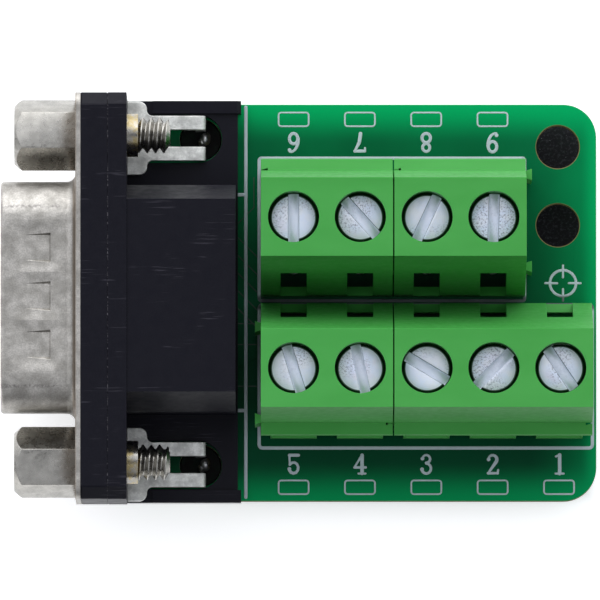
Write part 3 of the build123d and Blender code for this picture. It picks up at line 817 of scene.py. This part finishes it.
def thread_recipe():
    """Helical ridge along +Z from the origin, between a root and a crest radius."""
    points_per_turn = 28
    foot_share, top_share = 0.96, 0.14
    fade_reach, fade_scale = 0.08, 0.12
    recipe = Recipe("thread", "Pitch", "Turns", "Root", "Crest")
    given = recipe.given
    middle = recipe.times(recipe.plus(given["Crest"], given["Root"]), 0.5)
    helix = recipe.node("GeometryNodeCurveSpiral", {
        "Resolution": points_per_turn, "Rotations": given["Turns"],
        "Start Radius": middle, "End Radius": middle,
        "Height": recipe.times(given["Turns"], given["Pitch"]),
    })
    upright = recipe.node("GeometryNodeSetCurveNormal", {"Curve": helix}, mode="Z_UP")
    along = recipe.node("GeometryNodeSplineParameter")
    ends = recipe.least(along, recipe.less(1.0, along))
    fading = {"Value": ends, "From Max": fade_reach, "To Min": fade_scale, "To Max": 1.0}
    fade = recipe.node("ShaderNodeMapRange", fading)
    profile = recipe.node("GeometryNodeCurvePrimitiveQuadrilateral", {
        "Height": recipe.less(given["Crest"], given["Root"]),
        "Bottom Width": recipe.times(given["Pitch"], foot_share),
        "Top Width": recipe.times(given["Pitch"], top_share),
        "Offset": 0.0,
    }, mode="TRAPEZOID")
    quarter = {"Geometry": profile, "Rotation": (0.0, 0.0, math.pi / 2)}
    outwards = recipe.node("GeometryNodeTransform", quarter)
    ridge = recipe.node("GeometryNodeCurveToMesh", {
        "Curve": upright, "Profile Curve": outwards, "Scale": fade, "Fill Caps": True,
    })
    return recipe.finish(ridge)


def stroke_recipe():
    """Low rounded strokes of each point's half width, with round joints, from z 0 up to Height."""
    recipe = Recipe("strokes", "Height")
    tall = recipe.given["Height"]
    width = recipe.attribute("half_width")
    lines = recipe.given["Geometry"]
    curve = recipe.node("GeometryNodeMeshToCurve", {"Mesh": lines})
    ring = recipe.node("GeometryNodeCurvePrimitiveCircle", {"Resolution": 16, "Radius": 1.0})
    strokes = recipe.node("GeometryNodeCurveToMesh", {
        "Curve": curve, "Profile Curve": ring, "Scale": width, "Fill Caps": True,
    })
    right, up, height = recipe.axes(recipe.node("GeometryNodeInputPosition"))
    share = recipe.maths("DIVIDE", recipe.most(height, 0.0), width)
    low = recipe.vector(right, up, recipe.times(share, tall))
    laid = recipe.node("GeometryNodeSetPosition", {"Geometry": strokes, "Position": low})
    ball = recipe.node("GeometryNodeMeshUVSphere", {"Segments": 14, "Rings": 8, "Radius": 1.0})
    joints = recipe.node("GeometryNodeInstanceOnPoints", {
        "Points": lines, "Instance": ball, "Scale": recipe.vector(width, width, tall),
    })
    return recipe.finish(recipe.node("GeometryNodeJoinGeometry", {0: [laid, joints]}))


def fillet_recipe():
    """Hollow-sided solder cones on points, each with its own foot radius and height."""
    hollowness = 2.2
    recipe = Recipe("solder fillets", "Neck")
    neck = recipe.given["Neck"]
    cone = recipe.node("GeometryNodeMeshCone", {
        "Vertices": 28, "Side Segments": 7, "Radius Top": 1.0, "Radius Bottom": 1.0, "Depth": 1.0,
    })
    right, up, height = recipe.axes(recipe.node("GeometryNodeInputPosition"))
    curve = recipe.maths("POWER", recipe.most(recipe.less(1.0, height), 0.0), hollowness)
    radius = recipe.plus(neck, recipe.times(recipe.less(1.0, neck), curve))
    hollow = recipe.vector(recipe.times(right, radius), recipe.times(up, radius), height)
    unit = recipe.node("GeometryNodeSetPosition", {"Geometry": cone, "Position": hollow})
    foot = recipe.attribute("foot")
    placed = recipe.node("GeometryNodeInstanceOnPoints", {
        "Points": recipe.given["Geometry"], "Instance": unit,
        "Scale": recipe.vector(foot, foot, recipe.attribute("tall")),
    })
    return recipe.finish(placed)


def grow(name, tree, data, material, **values):
    """Runs a node tree over a mesh and returns the plain piece."""
    made = add_object(name, data)
    modifier = made.modifiers.new(name, "NODES")
    modifier.node_group = tree
    values["Material"] = material
    for item in tree.interface.items_tree:
        if item.in_out == "INPUT" and item.name in values:
            modifier[item.identifier] = values[item.name]
    return flattened(made)


def point_mesh(name, points, edges=(), **attributes):
    """Mesh of points and edges with float attributes on its points."""
    mesh = bpy.data.meshes.new(name)
    mesh.from_pydata([tuple(point) for point in points], list(edges), [])
    for key, values in attributes.items():
        mesh.attributes.new(key, "FLOAT", "POINT").data.foreach_set("value", values)
    return mesh


def thread_ridge(pitch, reach, root, crest, place):
    """Thread's ridge, its axis and start given by a matrix; sizes in millimetres."""
    sizes = {"Pitch": pitch, "Turns": reach / pitch, "Root": root, "Crest": crest}
    ridge = grow("thread", thread_recipe(), bpy.data.meshes.new("thread"), None, **sizes)
    mesh = bmesh.new()
    mesh.from_mesh(ridge.data)
    mesh.transform(Matrix.Scale(MM, 4) @ place)
    bmesh.ops.recalc_face_normals(mesh, faces=mesh.faces)
    saved(mesh, ridge.data)
    return ridge


def stroke_piece(name, strokes, height, material, level, under=False):
    """Flat strokes on the board's top or underside, coated and set on the board."""
    points = []
    widths = []
    edges = []
    for line, half, closed in strokes:
        first = len(points)
        points += [(x, y, 0.0) for x, y in line]
        widths += half if isinstance(half, list) else [half] * len(line)
        edges += [(first + i, first + i + 1) for i in range(len(line) - 1)]
        if closed:
            edges.append((len(points) - 1, first))
    data = point_mesh(name, points, edges, half_width=widths)
    piece = grow(name, stroke_recipe(), data, material, Height=height)
    turn = Matrix.Rotation(math.pi, 4, "X") if under else Matrix.Identity(4)
    piece.data.transform(Matrix.Scale(MM, 4) @ Matrix.Translation((0.0, 0.0, level)) @ turn)
    settle(piece, material, ROOT, SLOT_OF["circuit_board"])


# Print and copper, drawn as strokes: points, half widths, and closed or not

THICK = 0.085
FIRM = 0.075
MEDIUM = 0.07
SLIM = 0.06
THIN = 0.05
BALL = 0.09
NUMBER_Y = {"upper": 12.28, "lower": -12.36}
BOX_Y = {"upper": 14.06, "lower": -14.14}


def arc(centre, radii, start, stop, steps=9):
    """Points along an ellipse between two angles in degrees."""
    angles = [math.radians(start + (stop - start) * i / steps) for i in range(steps + 1)]
    return [(centre[0] + radii[0] * math.cos(a), centre[1] + radii[1] * math.sin(a)) for a in angles]


def stroke(half, *points, closed=False):
    """Stroke through points; half is its half width, or a list with one for each point."""
    return list(points), half, closed


def tapered(start, stop, points):
    """Stroke whose half width changes evenly."""
    last = len(points) - 1
    return stroke([start + (stop - start) * i / last for i in range(len(points))], *points)


def frame_line(half, low, high, corner):
    """Outline of a rectangle with slightly rounded corners."""
    points = []
    for x, y, start in (
        (high[0] - corner, high[1] - corner, 0),
        (low[0] + corner, high[1] - corner, 90),
        (low[0] + corner, low[1] + corner, 180),
        (high[0] - corner, low[1] + corner, 270),
    ):
        points += arc((x, y), (corner, corner), start, start + 90, 3)
    return stroke(half, *points, closed=True)


def drawn_digits():
    """The numbers 1 to 9 with small serifs, each one unit tall and centred on x 0."""

    def loop(half, centre, radii):
        return stroke(half, *arc(centre, radii, 0, 340, 14), closed=True)

    bowl = arc((0.0, 0.72), (0.2, 0.2), 170, -35)
    digits = {
        1: [
            stroke(THICK, (0.03, 0.93), (0.03, 0.05)),
            stroke(THIN, (-0.14, 0.86), (0.03, 0.94)),
            stroke(THIN, (-0.16, 0.05), (0.22, 0.05)),
        ],
        2: [
            tapered(THIN, THICK, bowl),
            stroke(BALL, (-0.19, 0.72)),
            stroke([THICK, THIN], bowl[-1], (-0.21, 0.07)),
            stroke([MEDIUM, MEDIUM, THIN], (-0.21, 0.07), (0.23, 0.07), (0.26, 0.22)),
        ],
        3: [
            tapered(THIN, MEDIUM, arc((0.0, 0.74), (0.18, 0.19), 165, -90)),
            tapered(SLIM, MEDIUM, arc((0.0, 0.29), (0.22, 0.24), 90, -165)),
            stroke(BALL, (-0.18, 0.76)),
            stroke(BALL, (-0.2, 0.25)),
        ],
        4: [
            stroke(THIN, (0.1, 0.94), (-0.26, 0.34)),
            stroke(SLIM, (-0.26, 0.34), (0.27, 0.34)),
            stroke(THICK, (0.1, 0.92), (0.1, 0.06)),
            stroke(THIN, (-0.07, 0.05), (0.26, 0.05)),
        ],
        5: [
            stroke(THIN, (-0.2, 0.92), (-0.18, 0.48)),
            stroke(FIRM, (-0.2, 0.92), (0.23, 0.92)),
            tapered(SLIM, FIRM, arc((0.0, 0.32), (0.22, 0.26), 145, -160)),
            stroke(BALL, (-0.2, 0.27)),
        ],
        6: [
            loop(FIRM, (0.0, 0.31), (0.2, 0.25)),
            tapered(THICK, THIN, arc((0.15, 0.4), (0.36, 0.54), 190, 85)),
            stroke(BALL, (0.19, 0.85)),
        ],
        7: [
            stroke(FIRM, (-0.22, 0.9), (0.24, 0.9)),
            stroke(THIN, (-0.24, 0.9), (-0.24, 0.76)),
            stroke([THIN, THICK, THICK], (0.24, 0.89), (0.03, 0.5), (-0.03, 0.07)),
        ],
        8: [
            loop(MEDIUM, (0.0, 0.73), (0.17, 0.19)),
            loop(FIRM, (0.0, 0.28), (0.2, 0.22)),
        ],
    }
    digits[9] = [([(-x, 1 - y) for x, y in line], half, closed) for line, half, closed in digits[6]]
    return digits


def row_of(pole):
    """Row that a pole is in."""
    return "upper" if pole >= FIRST_UPPER_POLE else "lower"


def pole_numbers(look):
    """Each pole's number, to be read from its own side of the board."""
    size = look.number_height / MM
    digits = drawn_digits()
    strokes = []
    for pole in POLES:
        across = axis_of(pole).x
        up = NUMBER_Y[row_of(pole)]
        turned = -size if row_of(pole) == "upper" else size
        for points, half, closed in digits[pole]:
            moved = [(across + x * turned, up + (y - 0.5) * turned) for x, y in points]
            wide = [value * size for value in half] if isinstance(half, list) else half * size
            strokes.append((moved, wide, closed))
    return strokes


def marking_boxes(look):
    """A blank box beside each pole's number."""
    thin = look.thin_line / MM / 2
    wide = look.box_width / MM / 2
    tall = look.box_height / MM / 2
    corner = 0.2
    strokes = []
    for pole in POLES:
        x = axis_of(pole).x
        y = BOX_Y[row_of(pole)]
        strokes.append(frame_line(thin, (x - wide, y - tall), (x + wide, y + tall), corner))
    return strokes


def outlines(look):
    """Outlines round the two rows, and the line behind the connector with its two ticks."""
    half = look.line / MM / 2
    start = UPPER_ROW[0].x - 2.64
    upper_end = UPPER_ROW[-1].x + 2.45
    lower_end = LOWER_ROW[0].x + 2.56
    middle_gap = 0.16
    upper_edge, lower_edge = 11.08, -11.13
    border = -4.09
    border_low, border_high = -14.9, 15.0
    tick_end = border - 0.6
    strokes = [
        frame_line(half, (start, middle_gap), (upper_end, upper_edge), 0.16),
        frame_line(half, (start, lower_edge), (lower_end, -middle_gap), 0.25),
        stroke(half, (border, border_low), (border, border_high)),
    ]
    for tick in (8.28, -8.26):
        strokes.append(stroke(half, (border, tick), (tick_end, tick)))
    return strokes


def registration_mark(look):
    """Ring with four short arms across it, beside the fixing holes."""
    ring = look.mark_radius / MM
    ring_half = look.thin_line / MM * 0.8
    arm_half = look.thin_line / MM * 0.65
    inner, outer = ring * 0.45, ring * 1.35
    x, y = HOLE_MIDDLE.x + 0.4, 1.5
    return [
        stroke(ring_half, *arc((x, y), (ring, ring), 0, 348, 29), closed=True),
        stroke(arm_half, (x - outer, y), (x - inner, y)),
        stroke(arm_half, (x + inner, y), (x + outer, y)),
        stroke(arm_half, (x, y - outer), (x, y - inner)),
        stroke(arm_half, (x, y + inner), (x, y + outer)),
    ]


def lane_gaps(look):
    """Gaps between the wide copper lanes that run from the connector to the rows."""
    start_x = BRACKET_HIGH.x - 0.8
    end_x = UPPER_ROW[0].x - 2.2
    first_y = UPPER_ROW[0].y - 0.35
    slanted = 5
    half = look.gap_width / MM / 2
    strokes = []
    for i in range(slanted):
        y = first_y - i * look.gap_pitch / MM
        strokes.append(stroke(half, (start_x, y), (end_x, y - (end_x - start_x))))
    bent_half = 0.05
    bent_x = BRACKET_HIGH.x + 0.98
    bent_y, bent_top = UPPER_ROW[0].y + 1.4, 9.6
    bent_end = (start_x, bent_y - bent_x + start_x)
    strokes.append(stroke(bent_half, (bent_x, bent_top), (bent_x, bent_y), bent_end))
    straight_half = 0.045
    for y in (-1.6, -3.2, -6.4):
        strokes.append(stroke(straight_half, (start_x, y), (end_x, y)))
    return strokes


def copper_routes():
    """Copper under the board from pins 1 to 5 to their poles, for a piece that is turned over."""
    half = 0.17
    lane_pitch = 0.6
    lowest_lane = -1.1
    strokes = []
    for pole in range(1, FIRST_UPPER_POLE):
        tail = tail_of(pole)
        leg = leg_of(pole)
        lane = lowest_lane + lane_pitch * (FIRST_UPPER_POLE - 1 - pole)
        start = (tail[0] + abs(tail[1] - lane), lane)
        end = (leg[0] - abs(lane - leg[1]), lane)
        line = [tail, start, end, leg]
        if end[0] < start[0]:
            line = [tail, (tail[0] + abs(tail[1] - leg[1]), leg[1]), leg]
        strokes.append(stroke(half, *[(x, -y) for x, y in line]))
    return strokes


# Operators, one for each piece or group of like pieces


class ADAPTER_OT_board(bpy.types.Operator):
    """Board with its mask, bare rims and copper under the mask"""

    bl_idname = "adapter.board"
    bl_label = "Board"

    def execute(self, context):
        look = look_of(context, "adapter_board")
        dress("circuit_board", solder_mask(look, "solder_mask", False), look.edge_radius)
        over = solder_mask(look, "mask_over_copper", True)
        film = 0.004
        stroke_piece("lane_gaps", lane_gaps(look), film, lane_gap(look), BOARD_HIGH.z)
        lift = look.copper_lift / MM
        stroke_piece("copper_under", copper_routes(), lift, over, BOARD_LOW.z, under=True)
        return {"FINISHED"}


class ADAPTER_OT_print(bpy.types.Operator):
    """Printed outlines, pole numbers, blank marking boxes and the registration mark"""

    bl_idname = "adapter.print"
    bl_label = "Board print"

    def execute(self, context):
        look = look_of(context, "adapter_print")
        ink = printed_ink(look)
        for name, strokes in (
            ("printed_outlines", outlines(look)),
            ("printed_numbers", pole_numbers(look)),
            ("marking_boxes", marking_boxes(look)),
            ("registration_mark", registration_mark(look)),
        ):
            stroke_piece(name, strokes, look.height / MM, ink, BOARD_HIGH.z)
        return {"FINISHED"}


class ADAPTER_OT_connector(bpy.types.Operator):
    """D shell, plastic layers and contact pins"""

    bl_idname = "adapter.connector"
    bl_label = "D connector"

    def execute(self, context):
        metal = look_of(context, "adapter_metal")
        plastic = look_of(context, "adapter_plastic")
        side_slope = 0.17

        def slope_dimples(mesh):
            for vertex in mesh.verts:
                if abs(vertex.co.x - DIMPLE_END) < NEAR and abs(vertex.co.z - SHELL_TOP) < NEAR:
                    middle = round(vertex.co.y / DIMPLE_PITCH) * DIMPLE_PITCH
                    vertex.co.y += math.copysign(side_slope, vertex.co.y - middle)

        dress("dsub_shell", drawn_shell(metal), metal.edge_radius, slope_dimples)
        black = black_moulding(plastic)
        for node in ("dsub_insulator", "dsub_bracket"):
            dress(node, black, plastic.edge_radius)
        gold = plated("gold_flash", metal.gold, dimmed(metal.gold, 0.85), 0.3, 0.3, 0.001)
        for pin in POLES:
            dress(f"dsub_pin_{pin}", gold, metal.edge_radius)
        return {"FINISHED"}


class ADAPTER_OT_jacks(bpy.types.Operator):
    """Jack sockets with cut threads, inside and out"""

    bl_idname = "adapter.jacks"
    bl_label = "Jack sockets"

    def execute(self, context):
        look = look_of(context, "adapter_metal")
        material = stained_jack(look)
        crest = look.jack_crest / MM
        pitch = look.jack_pitch / MM
        core = 1.35
        root = 1.0
        overlap = 0.02
        margin = 0.01
        thread_length = 2.45
        bore_depth = 6.0
        lead_in = 0.35
        groove_length = 4.6
        for side in SIDES:
            node = f"jack_socket_{side}"
            low, high = box(node)
            mount = MOUNTS[f"jack_thread_{side}"]
            bore = mount["dims"]["r_mm"]
            centre = Vector(mount["pos_m"]) / MM
            collar_end = high.x - thread_length
            bore_end = low.x + bore_depth

            def cut(mesh):
                for vertex in mesh.verts:
                    away = distance_round(vertex, centre, 0)
                    if vertex.co.x > collar_end - margin and away < crest:
                        scale_round(vertex, centre, 0, root / core)
                    if vertex.co.x < bore_end and abs(away - bore) < margin:
                        scale_round(vertex, centre, 0, (crest - overlap) / bore)

            made = rounded(node, look.hex_radius, cut)
            turn = Matrix.Rotation(math.pi / 2, 4, "Y")
            outer = Matrix.Translation((collar_end - 0.1, centre.y, centre.z)) @ turn
            inner = Matrix.Translation((low.x + lead_in, centre.y, centre.z)) @ turn
            ridge = thread_ridge(pitch, thread_length - 0.05, root - overlap, crest, outer)
            groove = thread_ridge(pitch, groove_length, crest - margin, bore, inner)
            settle(joined(made, ridge, groove), material, BODY_OF[node], SLOT_OF[node], node)
        return {"FINISHED"}


class ADAPTER_OT_locks(bpy.types.Operator):
    """Forked board locks"""

    bl_idname = "adapter.locks"
    bl_label = "Board locks"

    def execute(self, context):
        look = look_of(context, "adapter_metal")
        tin = plated("tinned_sheet", look.tin, dimmed(look.tin, 0.56), 0.13, 0.55, 0.04)
        for side in SIDES:
            dress(f"board_lock_{side}", tin, look.edge_radius)
        return {"FINISHED"}


class ADAPTER_OT_terminals(bpy.types.Operator):
    """Terminal mouldings"""

    bl_idname = "adapter.terminals"
    bl_label = "Terminal mouldings"

    def execute(self, context):
        look = look_of(context, "adapter_plastic")
        green = green_moulding(look)
        for node in sorted(BODY_OF):
            if node.startswith("terminal_housing"):
                dress(node, green, look.edge_radius)
        return {"FINISHED"}


class ADAPTER_OT_screws(bpy.types.Operator):
    """Terminal screws with cut threads"""

    bl_idname = "adapter.screws"
    bl_label = "Terminal screws"

    def execute(self, context):
        look = look_of(context, "adapter_metal")
        zinc = turned_zinc(look)
        pitch = look.screw_pitch / MM
        shank = 1.25
        root = 1.0
        overlap = 0.02
        margin = 0.01
        head_height = 1.4
        tip = 0.1
        run_out = 0.4
        for pole in POLES:
            node = f"terminal_screw_{pole}"
            low, high = box(node)
            centre = (low + high) / 2
            under = high.z - head_height

            def cut(mesh):
                for vertex in mesh.verts:
                    away = distance_round(vertex, centre, 2)
                    if away < shank + margin and vertex.co.z < under + margin:
                        scale_round(vertex, centre, 2, root / shank)

            made = rounded(node, look.edge_radius, cut)
            place = Matrix.Translation((centre.x, centre.y, low.z + tip))
            reach = under - low.z - run_out
            made = joined(made, thread_ridge(pitch, reach, root - overlap, shank, place))
            local = made.data.attributes.new("from_axis", "FLOAT_VECTOR", "POINT")
            top = Vector((centre.x, centre.y, high.z)) * MM
            for vertex, value in zip(made.data.vertices, local.data):
                value.vector = vertex.co - top
            settle(made, zinc, BODY_OF[node], SLOT_OF[node], node)
        return {"FINISHED"}


class ADAPTER_OT_clamps(bpy.types.Operator):
    """Rising clamps and contact bars"""

    bl_idname = "adapter.clamps"
    bl_label = "Clamps and contacts"

    def execute(self, context):
        look = look_of(context, "adapter_metal")
        zinc = plated("zinc_strip", look.zinc, dimmed(look.zinc, 0.7), 0.12, 0.34, 0.01)
        tinned = plated("tinned_brass", look.tin, dimmed(look.tin, 0.75), 0.1, 0.3, 0.008)
        for pole in POLES:
            dress(f"clamp_cage_{pole}", zinc, look.edge_radius)
            dress(f"terminal_contact_{pole}", tinned, look.edge_radius)
        return {"FINISHED"}


class ADAPTER_OT_solder(bpy.types.Operator):
    """Solder joints under the board, and the solder round the locks' legs with dark discs of painted shade
    in their holes
    """

    bl_idname = "adapter.solder"
    bl_label = "Solder"

    def execute(self, context):
        look = look_of(context, "adapter_metal")
        solder = wet_solder(look)
        slot = SLOT_OF["solder_joints"]
        tail_foot, leg_foot, fork_foot = 0.85, 1.25, 2.1
        joint_height, fork_height = 1.1, 1.0
        plug_radius = 1.56
        plug_height = 0.5
        hole_shade_height = 0.06
        joints = []
        for i in POLES:
            joints.append((tail_of(i), tail_foot, joint_height))
            joints.append((leg_of(i), leg_foot, joint_height))
        joints += [(fork_of(side), fork_foot, fork_height) for side in SIDES]
        points = [(place[0], -place[1], 0.0) for place, foot, tall in joints]
        feet = [foot for place, foot, tall in joints]
        heights = [tall for place, foot, tall in joints]
        data = point_mesh("solder", points, foot=feet, tall=heights)
        made = grow("solder_joints_finished", fillet_recipe(), data, solder, Neck=0.5)
        level = Matrix.Translation((0.0, 0.0, BOARD_LOW.z))
        made.data.transform(Matrix.Scale(MM, 4) @ level @ Matrix.Rotation(math.pi, 4, "X"))

        def add_disc(mesh, x, y, z, radii, height):
            bmesh.ops.create_cone(
                mesh, cap_ends=True, segments=40, radius1=radii[0], radius2=radii[1], depth=height,
                matrix=Matrix.Translation((x, y, z)),
            )

        def draw_plugs(mesh):
            for x, y in map(fork_of, SIDES):
                add_disc(mesh, x, y, BOARD_LOW.z + plug_height / 2, (plug_radius, plug_radius), plug_height)
                for along, across, down, size in (
                    (0.35, 0.05, 0.15, 0.42), (0.1, -0.15, 0.3, 0.3), (0.45, 0.25, 0.4, 0.3),
                ):
                    place = Matrix.Translation((x + along, y + across, BOARD_HIGH.z - down))
                    lump = place @ Matrix.Diagonal((size, size * 1.15, size + 0.45, 1.0))
                    bmesh.ops.create_uvsphere(mesh, u_segments=28, v_segments=16, radius=1.0, matrix=lump)

        # Painted shade: a dark disc on each plug, standing in for the shadow inside the lock's hole.
        def draw_hole_shade(mesh):
            for x, y in map(fork_of, SIDES):
                middle = BOARD_LOW.z + plug_height + hole_shade_height / 2
                add_disc(mesh, x, y, middle, (plug_radius + 0.01, plug_radius - 0.06), hole_shade_height)

        made = joined(made, drawn_piece("plugs", draw_plugs))
        settle(made, solder, ROOT, slot, "solder_joints")
        # Dark discs of painted shade in the locks' holes.
        settle(drawn_piece("flux", draw_hole_shade), burnt_flux(look), ROOT, slot)
        return {"FINISHED"}


# Stage

FLOOR_HALF = 4000.0
SENSOR_WIDTH = 36.0
NEAR_CLIP = 0.01
FAR_CLIP = 50.0
SKY = (0.96, 0.985, 1.05)
KEY_PLACE = (-0.06, 0.50, 0.22)
KEY_SIZE = 0.8


def studio_floor(look):
    """Wide floor under the adapter."""

    def draw(mesh):
        bmesh.ops.create_grid(mesh, x_segments=2, y_segments=2, size=FLOOR_HALF)

    floor = drawn_piece("floor", draw)
    floor.data.materials.append(studio_paper(look))


def studio_camera(look):
    """Long lens above the board, leaning a little."""
    camera = bpy.data.cameras.new("camera")
    camera.lens = look.lens
    camera.sensor_width = SENSOR_WIDTH
    camera.clip_start = NEAR_CLIP
    camera.clip_end = FAR_CLIP
    view = bpy.data.objects.new("camera", camera)
    back = Vector((look.lean_x, look.lean_y, 1.0)).normalized()
    aim = Vector((look.aim_x, look.aim_y, look.aim_z))
    view.location = aim + back * (look.image_width / look.pixels_per_mm * MM * look.lens / SENSOR_WIDTH)
    right = Vector((0.0, 1.0, 0.0)).cross(back).normalized()
    view.rotation_euler = Matrix((right, back.cross(right), back)).transposed().to_euler()
    return view


def studio_sky(look):
    """Sky that is white to the camera and lights the adapter from above and from +Y."""
    sky = bpy.data.worlds.new("sky")
    sky.use_nodes = True
    dome = Graph(sky.node_tree)
    background = sky.node_tree.nodes["Background"].inputs
    dome.feed(background["Color"], (*SKY, 1.0))
    y, z = dome.axes(dome.make("ShaderNodeTexCoord").outputs["Generated"])[1:]
    sides = dome.band(y, -0.8, 0.8, look.near_side, look.far_side)
    rise = dome.band(z, 0.1, 0.65, sides, look.zenith)
    round_lens = dome.band(z, 0.965, 0.995, 1.0, look.lens_shade)
    lean = dome.band(y, -0.7, 0.3, 0.5, 1.0)
    level = dome.times(dome.times(rise, round_lens), lean)
    seen = dome.make("ShaderNodeLightPath").outputs["Is Camera Ray"]
    dome.feed(background["Strength"], dome.most(seen, level))
    return sky


def key_lamp(look):
    """Soft lamp from the far side."""
    lamp = bpy.data.lights.new("key", "AREA")
    lamp.energy = look.key_watts
    lamp.size = KEY_SIZE
    key = bpy.data.objects.new("key", lamp)
    key.location = KEY_PLACE
    key.rotation_euler = (-Vector(KEY_PLACE)).to_track_quat("-Z", "Y").to_euler()
    key.visible_camera = False
    return key


class ADAPTER_OT_stage(bpy.types.Operator):
    """Floor, camera, sky and lamp"""

    bl_idname = "adapter.stage"
    bl_label = "Studio"

    def execute(self, context):
        look = look_of(context, "adapter_stage")
        scene = context.scene
        scene.view_settings.view_transform = "Standard"
        scene.world = studio_sky(look)
        studio_floor(look)
        scene.camera = studio_camera(look)
        for made in (scene.camera, key_lamp(look)):
            scene.collection.objects.link(made)
        return {"FINISHED"}


OPERATORS = (
    ADAPTER_OT_stage,
    ADAPTER_OT_board,
    ADAPTER_OT_print,
    ADAPTER_OT_connector,
    ADAPTER_OT_jacks,
    ADAPTER_OT_locks,
    ADAPTER_OT_terminals,
    ADAPTER_OT_screws,
    ADAPTER_OT_clamps,
    ADAPTER_OT_solder,
)


class ADAPTER_PT_panel(bpy.types.Panel):
    """Lists the adapter's pieces and their looks"""

    bl_idname = "ADAPTER_PT_panel"
    bl_label = "D connector adapter"
    bl_space_type = "VIEW_3D"
    bl_region_type = "UI"
    bl_category = "Adapter"

    def draw(self, context):
        for operator in OPERATORS:
            self.layout.operator(operator.bl_idname)
        for name, group in LOOKS.items():
            column = self.layout.column(align=True)
            for key in group.__annotations__:
                column.prop(getattr(context.scene, name), key)


def register():
    """Registers the classes and the looks on the scene."""
    for name, group in LOOKS.items():
        bpy.utils.register_class(group)
        setattr(bpy.types.Scene, name, bpy.props.PointerProperty(type=group))
    for made in (*OPERATORS, ADAPTER_PT_panel):
        bpy.utils.register_class(made)


def unregister():
    """Removes what register added."""
    for made in (ADAPTER_PT_panel, *reversed(OPERATORS)):
        bpy.utils.unregister_class(made)
    for name, group in LOOKS.items():
        delattr(bpy.types.Scene, name)
        bpy.utils.unregister_class(group)


def main():
    """Dresses the whole adapter."""
    register()
    for operator in OPERATORS:
        group, call = operator.bl_idname.split(".")
        getattr(getattr(bpy.ops, group), call)()


if __name__ == "__main__":
    main()
